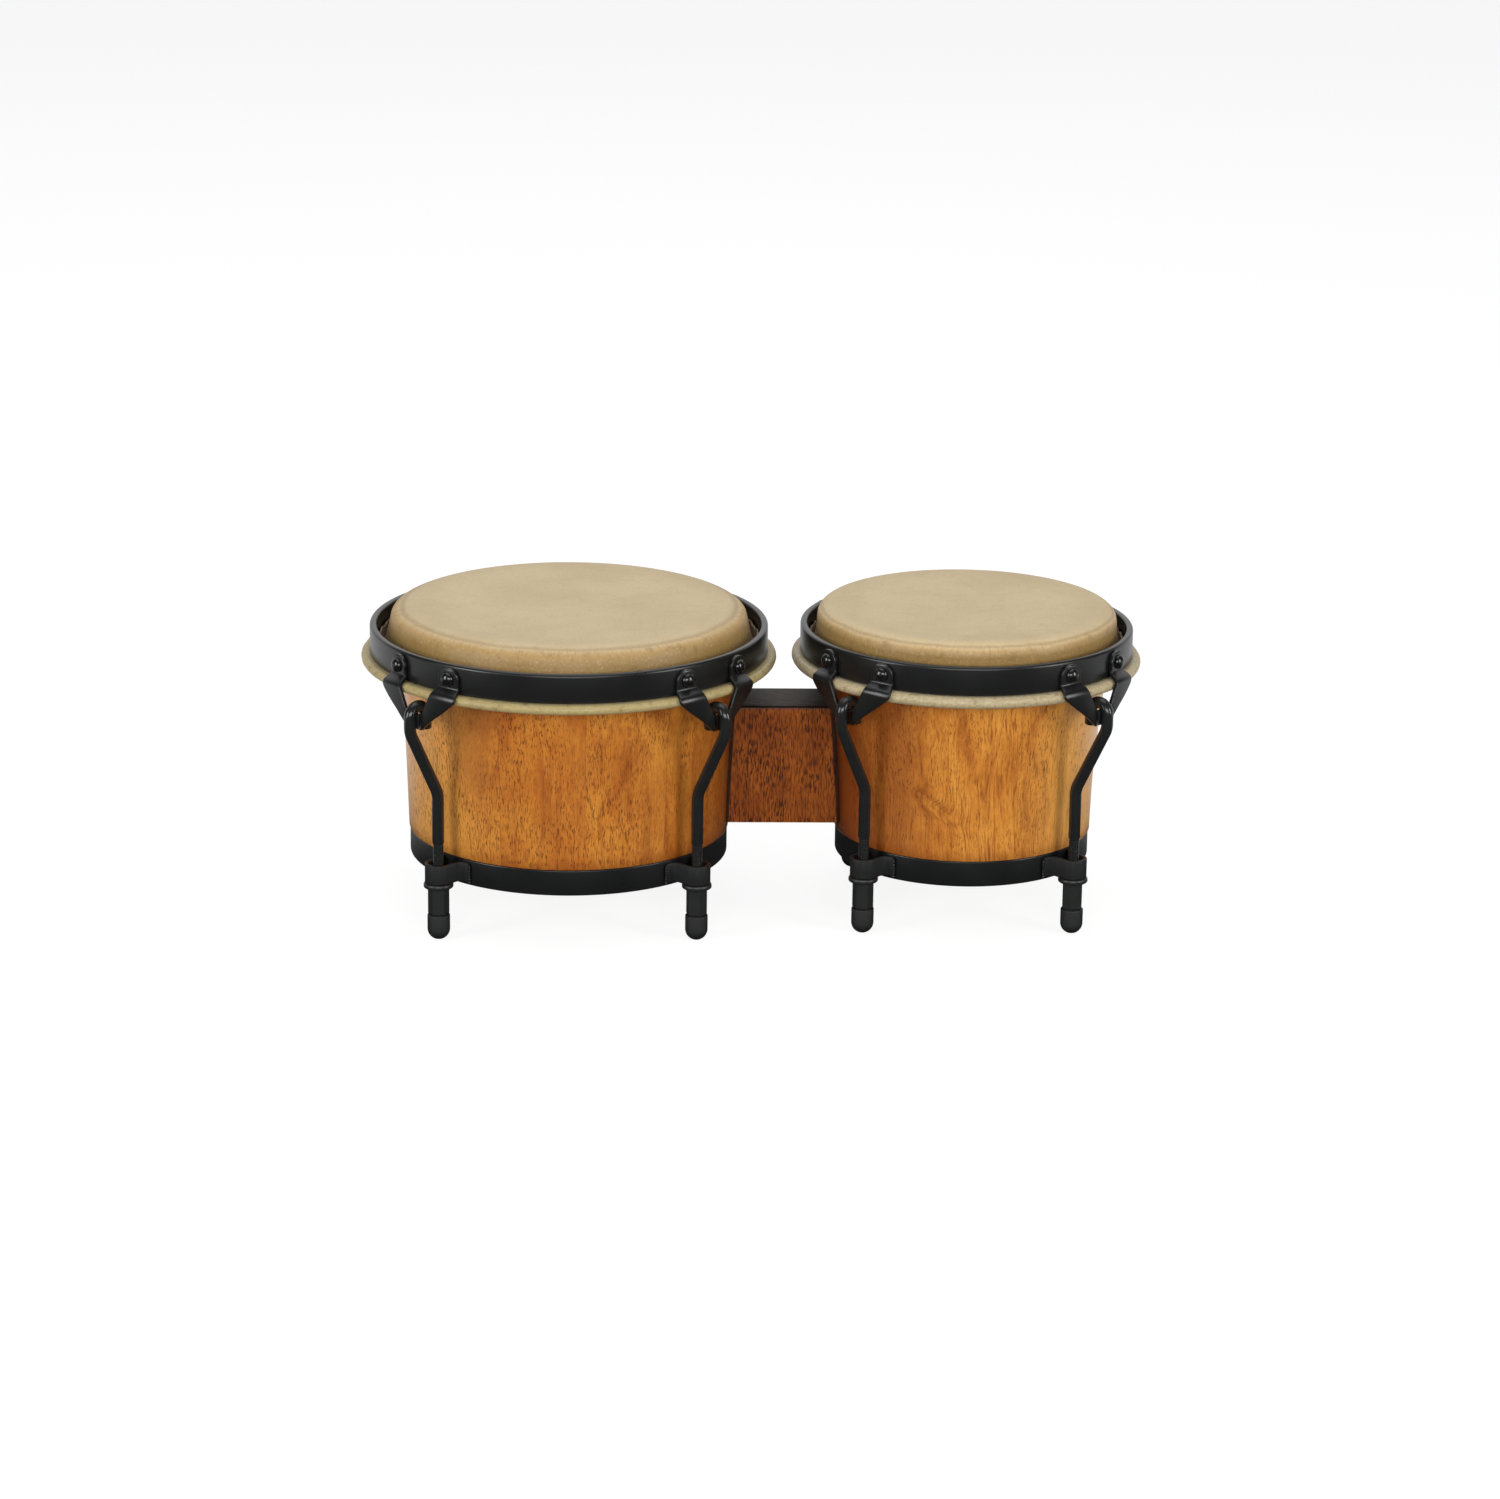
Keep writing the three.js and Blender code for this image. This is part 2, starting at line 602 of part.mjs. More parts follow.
// ------------------------------------------------------------------ assembly
function addLugs(size, drum, nut, tip) {
  const bracket = earBracket(drum);
  const rod = tuningRod(drum);
  for (const [lug, deg] of Object.entries(LUGS)) {
    const lugGroup = new THREE.Group();
    lugGroup.position.x = drum.axisX;
    lugGroup.rotation.z = degToRad(deg);
    group.add(lugGroup);
    const tag = `${size}_${lug}`;
    put(`ear_bracket_${tag}`, bracket, STEEL_BLACK, 0, lugGroup);
    put(`tuning_rod_${tag}`, rod, STEEL_BLACK, 0, lugGroup);
    put(`tuning_nut_${tag}`, nut, STEEL_BLACK, drum.rodR, lugGroup);
    put(`rubber_tip_${tag}`, tip, RUBBER, drum.rodR, lugGroup);
  }
}

const nut = tuningNut();
const tip = rubberTip();
for (const [size, drum] of Object.entries(DRUMS)) {
  const x = drum.axisX;
  put(`shell_${size}`, shell(drum), SHELL_WOOD, x);
  put(`head_${size}`, head(drum), HIDE, x);
  put(`flesh_hoop_${size}`, fleshHoop(drum), PLATED, x);
  put(`rim_${size}`, rim(drum), STEEL_BLACK, x);
  put(`bottom_ring_${size}`, bottomRing(drum), STEEL_BLACK, x);
  addLugs(size, drum, nut, tip);
  for (const [level, z] of Object.entries(BOLT_Z)) {
    put(`block_washer_${size}_${level}`, blockWasher(drum, z), PLATED, x);
    put(`block_bolt_${size}_${level}`, blockBolt(drum, z), PLATED, x);
    put(`block_insert_${size}_${level}`, blockInsert(drum, z), BRASS, x);
  }
}
put('centre_block', centreBlock(), BLOCK_WOOD);

export default group;
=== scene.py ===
"""A pair of bongos joined by a wooden block, standing on rubber tips at z = 0.

The large drum is on the left (-X), the small one on the right (+X); the front is -Y and up
is +Z. Shapes are worked out in millimetres and become metres when a mesh is made. Shader
coordinates are in metres.
"""
import math
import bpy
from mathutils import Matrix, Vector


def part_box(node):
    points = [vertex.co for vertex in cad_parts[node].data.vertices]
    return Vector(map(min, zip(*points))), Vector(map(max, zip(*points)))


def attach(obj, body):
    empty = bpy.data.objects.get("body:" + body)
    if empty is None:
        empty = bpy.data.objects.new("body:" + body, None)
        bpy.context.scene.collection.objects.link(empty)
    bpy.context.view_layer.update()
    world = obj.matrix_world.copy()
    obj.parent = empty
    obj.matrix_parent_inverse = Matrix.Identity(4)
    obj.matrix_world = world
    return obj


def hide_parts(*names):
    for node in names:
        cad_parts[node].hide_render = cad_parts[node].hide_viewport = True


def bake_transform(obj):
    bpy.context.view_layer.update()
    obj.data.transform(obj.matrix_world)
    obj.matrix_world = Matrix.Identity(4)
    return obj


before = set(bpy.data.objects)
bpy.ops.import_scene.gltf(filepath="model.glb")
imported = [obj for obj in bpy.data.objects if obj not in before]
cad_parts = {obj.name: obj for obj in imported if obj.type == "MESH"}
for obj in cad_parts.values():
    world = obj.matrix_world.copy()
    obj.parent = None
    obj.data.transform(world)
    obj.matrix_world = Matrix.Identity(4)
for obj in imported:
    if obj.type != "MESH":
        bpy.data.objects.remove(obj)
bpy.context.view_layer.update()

from types import SimpleNamespace

import bmesh
import bpy
import numpy as np
from mathutils import Matrix, Vector, noise

MM = 0.001


# ------------------------------------------------------------------ dimensions (mm)
def span(node):
    """The low and high corners of one of the frame's pieces."""
    low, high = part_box(node)
    return [v / MM for v in low], [v / MM for v in high]


HEAD_TOP = span("head_large")[1][2]
RIM_Z = (span("rim_large")[0][2], span("rim_large")[1][2])
RING_Z = (span("bottom_ring_large")[0][2], span("bottom_ring_large")[1][2])
SKIN = 1.3                      # thickness of the hide
RIM_T = 4.2                     # wall of the tension rim
RING_T = 2.5                    # wall of the foot ring
WALL = 11.0                     # wall of the wooden shell
SEAT_GAP = 0.3                  # between hide and bearing edge

# Lugs: angle round the drum in degrees. Front left, front right, back right, back left.
LUGS = {"fl": -135, "fr": -45, "br": 45, "bl": 135}
BRACKET_T = 2.4
BRACKET_GAP = 0.3               # between rim and bracket tab
TAB_SIDE, TAB_HALF, TAB_Z = 21.4, 7.2, 164.9    # tab centre from the lug, half width, height

ROD_R, PITCH = 3.5, 1.27
THREAD_TOP, ROD_BOTTOM = 58.3, 9.6
THREAD_ROOT, THREAD_CREST = 2.72, 3.17
CRANK_LOW, CRANK_HIGH = 88.9, 130.4
HOOK_OUT, HOOK_IN = 10.7, -1.7  # the hook's two legs, from the rim's outside
HOOK_Z, HOOK_END = 139.0, 130.6

NUT_TOP, NUT_FLATS = 34.6, 11.3
TIP_TOP, TIP_R = 15.1, 6.65
LOOP_Z = (34.9, 46.6)           # lower and upper edge of the foot loops
LOOP_T, LOOP_R = 2.1, 6.95      # strap thickness, radius of its middle round the rod
BOLT_Z = {"low": 72.0, "high": 109.0}

# How far each hexagon nut is turned, in degrees.
NUT_TURN = {
    "large": {"fl": 31, "fr": 12, "br": 40, "bl": 5},
    "small": {"fl": 20, "fr": 52, "br": 26, "bl": 47},
}

# Heights of the shell's stations; each drum's shell_r holds the outer radii there.
SHELL_Z = (48.4, 80, 113, 146, 157, 167)

# bead_out: how far the wrapped edge stands out from the rim; bead_w, bead_h: its half sizes.
# side: direction along X from the drum to the block.
# crown: the shoulder's (distance in from head_r, drop below the head's top).
DRUMS = {
    "large": SimpleNamespace(
        size="large", centre_x=-108.43, side=1, rim_r=118.0, head_r=107.0,
        bead_out=5.1, bead_w=3.1, bead_h=2.85, bead_z=152.95,
        ring_r=94.9, edge_r=104.8, rod_r=107.0, seed=1.7,
        crown=[(14.0, -0.05), (11.0, 0.35), (8.4, 1.1), (5.4, 2.3), (3.4, 3.5),
               (2.2, 4.9), (1.5, 7.0), (0.9, 9.8), (0.4, 13.0)],
        shell_r=(95.5, 96.6, 98.1, 100.9, 102.6, 104.1)),
    "small": SimpleNamespace(
        size="small", centre_x=127.73, side=-1, rim_r=98.8, head_r=89.1,
        bead_out=5.0, bead_w=3.5, bead_h=3.4, bead_z=152.4,
        ring_r=76.0, edge_r=87.2, rod_r=87.7, seed=8.3,
        crown=[(8.0, -0.05), (5.6, 0.35), (3.9, 1.1), (2.4, 2.2), (1.3, 3.4),
               (0.6, 4.9), (0.2, 7.0), (0.05, 9.8), (0.0, 13.0)],
        shell_r=(76.8, 77.8, 80.4, 83.9, 85.6, 86.8)),
}
for drum in DRUMS.values():
    drum.centre = (drum.centre_x, 0)
    drum.bead_r = drum.rim_r + drum.bead_out - drum.bead_w      # middle of the wrapped edge
    drum.tail_r = drum.rim_r - RIM_T - 1.5                      # tucked end of the hide
    drum.shell_fit = np.polyfit(SHELL_Z, drum.shell_r, 3)


def station_r(drum, z):
    """Outer shell radius, straight between the stations."""
    return float(np.interp(z, SHELL_Z, drum.shell_r))


def smooth_r(drum, z):
    """Outer shell radius, blending a cubic curve with the stations."""
    z = min(max(z, SHELL_Z[0]), SHELL_Z[-1])
    return 0.6 * float(np.polyval(drum.shell_fit, z)) + 0.4 * station_r(drum, z)


def bolt_seat(drum, z):
    """Radius of the flat cut inside the shell for a bolt's washer."""
    return station_r(drum, z) - WALL + 2.4


# ------------------------------------------------------------------ mesh helpers
def new_object(name, verts, faces, uvs=None):
    """A linked object with its normals facing out. uvs: one (u, v) per vertex."""
    mesh = bpy.data.meshes.new(name)
    mesh.from_pydata([tuple(v) for v in np.asarray(verts, float) * MM], [],
                     [tuple(f) for f in faces])
    if uvs is not None:
        layer = mesh.uv_layers.new(name="Along")
        loops = np.zeros(len(mesh.loops), dtype=np.int32)
        mesh.loops.foreach_get("vertex_index", loops)
        uvs = np.asarray(uvs, float)[loops]
        layer.data.foreach_set("uv", uvs.astype(np.float32).ravel())
    mesh.validate()
    work = bmesh.new()
    work.from_mesh(mesh)
    bmesh.ops.recalc_face_normals(work, faces=work.faces)
    work.to_mesh(mesh)
    work.free()
    ob = bpy.data.objects.new(name, mesh)
    bpy.context.scene.collection.objects.link(ob)
    return ob


def make(name, verts, faces, body, finish, stands_for=None, smooth=40, uvs=None):
    """A finished piece. finish: (slot, material); smooth: sharp edges start at this angle."""
    ob = new_object(name, verts, faces, uvs)
    mesh = ob.data
    mesh.polygons.foreach_set("use_smooth", [True] * len(mesh.polygons))
    mesh.set_sharp_from_angle(angle=math.radians(smooth))
    slot, material = finish
    mesh.materials.append(material)
    if body is not None:
        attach(ob, body)
    if stands_for:
        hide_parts(stands_for)
    return ob


def turned(verts, degrees, at):
    """Turns points round Z, then moves them to at."""
    angle = math.radians(degrees)
    verts = np.asarray(verts, float)
    out = verts.copy()
    out[:, 0] = verts[:, 0] * math.cos(angle) - verts[:, 1] * math.sin(angle) + at[0]
    out[:, 1] = verts[:, 0] * math.sin(angle) + verts[:, 1] * math.cos(angle) + at[1]
    return out


def along_x(verts, direction, z, start_x):
    """A part turned round Z becomes one turned round the X axis at height z."""
    verts = np.asarray(verts, float)
    return np.stack([verts[:, 2] * direction + start_x, verts[:, 1] * direction,
                     verts[:, 0] * -1 + z], 1)


def lathe(profile, seg, move=None, closed=False):
    """Turns a profile of (r, z) round Z. A radius of 0 at an end becomes a pole.

    move(i, angle, r, z) may move a ring's point. The UVs are metres round and along."""
    verts, faces, uvs, rings = [], [], [], []
    length = 0.0
    before = None
    widest = max(r for r, _ in profile)
    for i, (r, z) in enumerate(profile):
        if before is not None:
            length += math.hypot(r - before[0], z - before[1])
        before = (r, z)
        if r < 1e-6:
            rings.append([len(verts)])
            verts.append((0, 0, z))
            uvs.append((0, length * MM))
            continue
        ring = []
        for k in range(seg):
            angle = 2 * math.pi * k / seg
            at_r, at_z = (r, z) if move is None else move(i, angle, r, z)
            ring.append(len(verts))
            verts.append((at_r * math.cos(angle), at_r * math.sin(angle), at_z))
            uvs.append((angle * widest * MM, length * MM))
        rings.append(ring)
    pairs = list(zip(rings, rings[1:]))
    if closed:
        pairs.append((rings[-1], rings[0]))
    for low, high in pairs:
        for k in range(seg):
            k2 = (k + 1) % seg
            if len(low) == 1:
                faces.append((low[0], high[k2], high[k]))
            elif len(high) == 1:
                faces.append((low[k], low[k2], high[0]))
            else:
                faces.append((low[k], low[k2], high[k2], high[k]))
    return verts, faces, uvs


def rounded(points, radii, steps=5):
    """A line or polygon with its corners rounded. One radius per corner, 0 keeps it sharp."""
    out = []
    for i, radius in enumerate(radii):
        corner = np.array(points[i], float)
        if radius <= 0:
            out.append(tuple(corner))
            continue
        back = np.array(points[i - 1], float) - corner
        ahead = np.array(points[(i + 1) % len(points)], float) - corner
        back_len, ahead_len = np.linalg.norm(back), np.linalg.norm(ahead)
        back, ahead = back / back_len, ahead / ahead_len
        half = math.acos(max(-1, min(1, float(back @ ahead)))) / 2
        cut = min(radius / math.tan(half), back_len * 0.49, ahead_len * 0.49)
        arc_r = cut * math.tan(half)
        middle = (back + ahead) / np.linalg.norm(back + ahead)
        centre = corner + middle * (arc_r / math.sin(half))
        first = math.atan2(*(corner + back * cut - centre)[::-1])
        last = math.atan2(*(corner + ahead * cut - centre)[::-1])
        sweep = (last - first + math.pi) % (2 * math.pi) - math.pi
        for k in range(steps + 1):
            angle = first + sweep * k / steps
            out.append((centre[0] + arc_r * math.cos(angle),
                        centre[1] + arc_r * math.sin(angle)))
    return out


def rounded_box(width, height, radius, steps):
    """A rectangle's outline round the origin, with rounded corners."""
    out = []
    for sx, sy, start in ((1, 1, 0), (-1, 1, 90), (-1, -1, 180), (1, -1, 270)):
        for k in range(steps + 1):
            angle = math.radians(start + 90 * k / steps)
            out.append((sx * (width / 2 - radius) + radius * math.cos(angle),
                        sy * (height / 2 - radius) + radius * math.sin(angle)))
    return out


def loft(rings, close=False):
    """Joins equal closed rings of points. The ends are capped unless the loft closes."""
    n = len(rings[0])
    count = len(rings)
    verts = [p for ring in rings for p in ring]
    faces = []
    for i in range(count if close else count - 1):
        a, b = i * n, ((i + 1) % count) * n
        for k in range(n):
            k2 = (k + 1) % n
            faces.append((a + k, a + k2, b + k2, b + k))
    if not close:
        for i in (0, count - 1):
            middle = len(verts)
            verts.append(tuple(np.mean(rings[i], axis=0)))
            for k in range(n):
                faces.append((i * n + k, i * n + (k + 1) % n, middle))
    return verts, faces


def chaikin(points, times=2):
    """Cuts a line's corners repeatedly, keeping its ends."""
    points = np.asarray(points, float)
    for _ in range(times):
        between = np.empty((2 * len(points) - 2, points.shape[1]))
        between[0::2] = 0.75 * points[:-1] + 0.25 * points[1:]
        between[1::2] = 0.25 * points[:-1] + 0.75 * points[1:]
        points = np.vstack([points[:1], between, points[-1:]])
    return points


def tangents(points):
    along = np.gradient(points, axis=0)
    return along / np.linalg.norm(along, axis=1)[:, None]


def normals(along):
    return np.stack([-along[:, 1], along[:, 0]], 1)


def uneven(x, y, z=0.0):
    """Smooth noise, about -1 to 1."""
    return noise.noise(Vector((x, y, z)))


# ------------------------------------------------------------------ node helpers
class Wire:
    """A node's output that can be calculated with like a number."""

    def __init__(self, nodes, socket):
        self.nodes = nodes
        self.socket = socket

    def op(self, kind, *others):
        return self.nodes.math(kind, self, *others)

    def __add__(self, other):
        return self.op("ADD", other)

    def __radd__(self, other):
        return self.nodes.math("ADD", other, self)

    def __sub__(self, other):
        return self.op("SUBTRACT", other)

    def __rsub__(self, other):
        return self.nodes.math("SUBTRACT", other, self)

    def __mul__(self, other):
        return self.op("MULTIPLY", other)

    def __rtruediv__(self, other):
        return self.nodes.math("DIVIDE", other, self)

    def __pow__(self, other):
        return self.op("POWER", other)

    def mul_add(self, factor, offset):
        return self.op("MULTIPLY_ADD", factor, offset)

    def rise(self, lo, hi):
        """0 at lo, easing to 1 at hi. lo may be the larger, which makes it a fall."""
        return Wire(self.nodes, self.nodes.node(
            "ShaderNodeMapRange", self, lo, hi, interpolation_type="SMOOTHSTEP").outputs[0])


class Nodes:
    """Builds one node tree."""

    def __init__(self, tree):
        self.tree = tree

    def plug(self, value, socket):
        """Links an output to the socket, or sets the socket's own value."""
        if isinstance(value, Wire):
            value = value.socket
        if isinstance(value, bpy.types.NodeSocket):
            self.tree.links.new(value, socket)
        elif isinstance(value, tuple) and socket.type == "RGBA":
            socket.default_value = (*value, 1.0)
        else:
            socket.default_value = value

    def fill(self, node, values):
        """Plugs values into a node's inputs by name."""
        for name, value in values.items():
            self.plug(value, node.inputs[name])

    def node(self, kind, *values, **settings):
        """A new node with values plugged into its first inputs."""
        made = self.tree.nodes.new(kind)
        for name, setting in settings.items():
            setattr(made, name, setting)
        for socket, value in zip(made.inputs, values):
            self.plug(value, socket)
        return made

    def math(self, kind, *values):
        return Wire(self, self.node("ShaderNodeMath", *values, operation=kind).outputs[0])

    def vector_math(self, kind, a, b):
        return self.node("ShaderNodeVectorMath", a, b, operation=kind).outputs[0]

    def combine(self, x, y, z):
        return self.node("ShaderNodeCombineXYZ", x, y, z).outputs[0]

    def xyz(self, vector):
        parts = self.node("ShaderNodeSeparateXYZ", vector).outputs
        return [Wire(self, part) for part in parts]

    def coords(self):
        return self.node("ShaderNodeTexCoord").outputs["Object"]

    def mix(self, factor, a, b):
        made = self.node("ShaderNodeMix", data_type="RGBA")
        for i, value in ((0, factor), (6, a), (7, b)):
            self.plug(value, made.inputs[i])
        return made.outputs[2]

    def layers(self, colour, rows):
        """Lays colours over one another. Rows: pattern, rise from, to, strength, colour."""
        for pattern, lo, hi, strength, over in rows:
            colour = self.mix(pattern.rise(lo, hi) * strength, colour, over)
        return colour

    def noise(self, vector, scale=1.0, detail=3.0, rough=0.5, warp=0.0,
              offset=None, stretch=None):
        """Noise at a vector, which may first be offset and then stretched per axis."""
        if offset:
            vector = self.vector_math("ADD", vector, offset)
        if stretch:
            vector = self.vector_math("MULTIPLY", vector, stretch)
        made = self.node("ShaderNodeTexNoise")
        self.fill(made, {"Vector": vector, "Scale": scale, "Detail": detail,
                         "Roughness": rough, "Distortion": warp})
        return Wire(self, made.outputs["Fac"])

    def bump(self, height, strength, distance):
        made = self.node("ShaderNodeBump")
        self.fill(made, {"Strength": strength, "Distance": distance, "Height": height})
        return made.outputs["Normal"]

    def surface(self, values):
        self.fill(self.tree.nodes["Principled BSDF"], values)


def new_material(name):
    made = bpy.data.materials.new(name)
    made.use_nodes = True
    return made, Nodes(made.node_tree)


def srgb(*levels):
    """Linear colour from 0-255 sRGB levels."""
    def linear(level):
        level /= 255.0
        return level / 12.92 if level <= 0.04045 else ((level + 0.055) / 1.055) ** 2.4
    return tuple(linear(level) for level in levels)


# ------------------------------------------------------------------ shell wood
STAVES = 12.0


def shell_wood(drum, look):
    """Lacquered, honey-stained staves. Coordinates: round the shell, out along the radius, up."""
    made, nodes = new_material(f"shell_wood_{drum.size}")
    x, y, z = nodes.xyz(nodes.coords())
    dx = x - drum.centre_x * MM
    angle = nodes.math("ARCTAN2", dx, y * -1.0)         # 0 at the front
    radius = (dx ** 2.0 + y ** 2.0).op("SQRT")
    ring_r = drum.ring_r * MM
    turn = angle.mul_add(STAVES / (2 * math.pi), look.offset + 40.0)
    random = nodes.node("ShaderNodeTexWhiteNoise", noise_dimensions="1D")
    nodes.fill(random, {"W": turn.op("FLOOR") + look.seed})
    tone = Wire(nodes, random.outputs["Value"])
    red, green, blue = nodes.xyz(random.outputs["Color"])
    around = angle * ring_r
    # each stave is cut from another place in the wood
    point = nodes.vector_math("ADD", nodes.combine(around, radius, z),
                              nodes.combine(red * 3.0, green * 2.0, blue * 5.0))

    # a slanting eye in the figure, round which the lines bend
    eye_at, eye_z, eye_length, eye_height, slant = look.eye
    from_s = around - eye_at
    from_z = z - eye_z
    eye_s = from_z.mul_add(slant, from_s) * (1.0 / eye_length)
    eye_t = from_s.mul_add(-slant, from_z) * (1.0 / eye_height)
    square = eye_s * eye_s + eye_t * eye_t
    eye = 1.0 / (1.0 + square * square)
    sway = (nodes.noise(point, stretch=(30, 30, 12), detail=2.0) - 0.5) * look.warp
    ripple = (nodes.noise(point, stretch=(95, 95, 45), detail=2.0) - 0.5) * look.ripple
    bent = nodes.vector_math(
        "ADD", point, nodes.combine(sway + (ripple + eye * look.bend), 0.0, 0.0))

    # broad blotchy figure, a wandering growth band, long lines, fine fibre, short dark pores
    blotch = nodes.noise(bent, stretch=(46, 46, 20), rough=0.55, warp=0.6)
    middle = nodes.noise(bent, offset=(0.41, 0.0, 0.19), stretch=(130, 130, 60),
                         rough=0.6, warp=0.5)
    band = nodes.noise(bent, stretch=(150, 150, 9), detail=2.0, warp=0.2)
    grain = nodes.noise(bent, stretch=(560, 560, 22), rough=0.62)
    lines = nodes.noise(bent, offset=(0.13, 0.0, 0.37), stretch=(920, 920, 17),
                        detail=2.0, rough=0.65)
    mottle = nodes.noise(point, stretch=(420, 420, 230), detail=4.0, rough=0.65)
    pore_lo = look.pore_lo
    pores = nodes.noise(point, stretch=(1800, 1800, 290), detail=1.0, rough=0.4)
    pores = pores.rise(lo=pore_lo, hi=pore_lo + 0.07)
    wide_pores = nodes.noise(point, offset=(0.31, 0.17, 0.23), stretch=(1150, 1150, 150),
                             detail=1.0, rough=0.4)
    wide_pores = wide_pores.rise(lo=pore_lo + 0.03, hi=pore_lo + 0.10)
    porous = nodes.noise(point, stretch=(36, 36, 18), detail=2.0).rise(lo=0.34, hi=0.60)

    colour = nodes.mix(blotch.rise(lo=0.32, hi=0.68), look.light, look.mid)
    colour = nodes.layers(colour, (
        (middle, 0.42, 0.72, 0.55, look.mid2),
        (band, 0.50, 0.80, 0.60, look.dark),
        (blotch, 0.54, 0.78, look.blotch, look.dark),
        (grain, 0.44, 0.74, look.grain, look.mid2),
        (grain, 0.56, 0.80, look.grain, look.dark),
        (lines, 0.50, 0.70, look.lines, look.dark),
        (mottle, 0.50, 0.72, 0.36, look.dark),
        (mottle, 0.46, 0.28, 0.25, look.gold)))
    colour = nodes.mix(tone * 0.34, colour, look.mid2)
    streak = nodes.noise(nodes.combine(eye_s * 0.85, eye_t * 1.15, 0.7), rough=0.6, warp=0.3)
    streak = streak.rise(lo=0.45, hi=0.66) * look.ring
    colour = nodes.mix(eye.rise(lo=0.08, hi=0.55) * streak, colour, look.dark)
    # a redder patch with an uneven edge: a stained stave on the large shell; on the small
    # shell it spreads over the side towards the block as painted shade of the gap
    stain_at, stain_z, soft, width = look.stain
    stain = ((middle - 0.5).mul_add(soft * 1.5, around).rise(stain_at + soft, stain_at - soft)
             * around.rise(stain_at - width, stain_at - width * 0.7))
    stain = stain * (blotch - 0.5).mul_add(0.03, z).rise(stain_z, stain_z + 0.020)
    colour = nodes.mix(stain * look.deep, colour, look.red)
    # painted shade towards the block, where the two drums shade each other, and a painted
    # sheen on the far side
    toward = around * (drum.side / ring_r)
    off_block = (toward - math.pi / 2).op("ABSOLUTE")
    colour = nodes.layers(colour, (
        (off_block, 0.91, 0.42, look.shade, look.red),
        (off_block, 0.52, 0.17, look.shade * 0.6, srgb(84, 36, 14))))
    # painted sheen, as if the lacquer mirrored the bright backdrop on the outer side
    far_side_sheen = toward.rise(lo=-0.30, hi=-1.05) * toward.rise(lo=-2.4, hi=-1.7)
    colour = nodes.mix(far_side_sheen * 0.55, colour, look.pale)
    colour = nodes.mix(pores * porous.mul_add(0.46, 0.22), colour, look.pore)
    colour = nodes.mix(wide_pores * porous.mul_add(0.34, 0.12), colour, look.pore)
    joint = (turn.op("FRACT") - 0.5).op("ABSOLUTE").rise(lo=0.4965, hi=0.4998)
    colour = nodes.mix(joint * 0.5, colour, look.pore)
    # painted shade just above the foot ring; lighter inside the shell
    colour = nodes.layers(colour, ((z, 0.060, 0.0485, 0.30, look.dark),))
    inside = 1.0 - radius.rise(ring_r - 0.006, ring_r - 0.004)
    colour = nodes.mix(inside * 0.35, colour, look.light)
    height = grain * 0.25 - (pores * 0.8 + joint)
    nodes.surface({
        "Base Color": colour, "Roughness": mottle.mul_add(0.16, 0.32),
        "Specular IOR Level": 0.25, "Coat Weight": 0.55, "Coat Roughness": 0.20,
        "Coat IOR": 1.45, "Normal": nodes.bump(height, strength=0.18, distance=0.0002)})
    return made


# offset: where the staves start; seed: their tones; warp, ripple, bend: how far (m) the
# lines sway, ripple and bend round the eye; pore_lo: higher is fewer pores; blotch, grain,
# lines, ring, deep, shade: strengths of the figure, the eye's streaks, the stain (with the
# small shell's painted gap shade) and the painted shade towards the block; pale: colour of
# the painted sheen on the far side.
# eye: place round the shell from the front, height, half length, half height (m), slant.
# stain: edge round the shell, lower height, softness, width (m).
SHELL_WOODS = {
    "large": ("shell_wood", shell_wood(DRUMS["large"], SimpleNamespace(
        offset=0.80, seed=3.0, warp=0.010, ripple=0.0030, bend=0.004, pore_lo=0.575,
        blotch=0.70, grain=0.36, lines=0.30, ring=0.0, deep=0.50, shade=0.55,
        eye=(0.030, 0.085, 0.018, 0.012, 0.6), stain=(-0.0397, 0.122, 0.0004, 0.050),
        light=srgb(214, 142, 52), mid=srgb(197, 118, 37), mid2=srgb(172, 93, 28),
        dark=srgb(126, 58, 18), gold=srgb(226, 154, 62), pore=srgb(70, 30, 11),
        pale=srgb(240, 176, 84), red=srgb(136, 64, 24)))),
    "small": ("shell_wood", shell_wood(DRUMS["small"], SimpleNamespace(
        offset=0.35, seed=11.0, warp=0.016, ripple=0.0016, bend=0.006, pore_lo=0.615,
        blotch=0.60, grain=0.46, lines=0.80, ring=0.50, deep=0.55, shade=0.80,
        eye=(-0.0265, 0.084, 0.024, 0.0052, -0.67), stain=(-0.033, 0.030, 0.010, 0.170),
        light=srgb(224, 154, 62), mid=srgb(206, 130, 46), mid2=srgb(182, 105, 34),
        dark=srgb(130, 64, 20), gold=srgb(232, 164, 72), pore=srgb(80, 38, 14),
        pale=srgb(246, 186, 98), red=srgb(134, 62, 23)))),
}


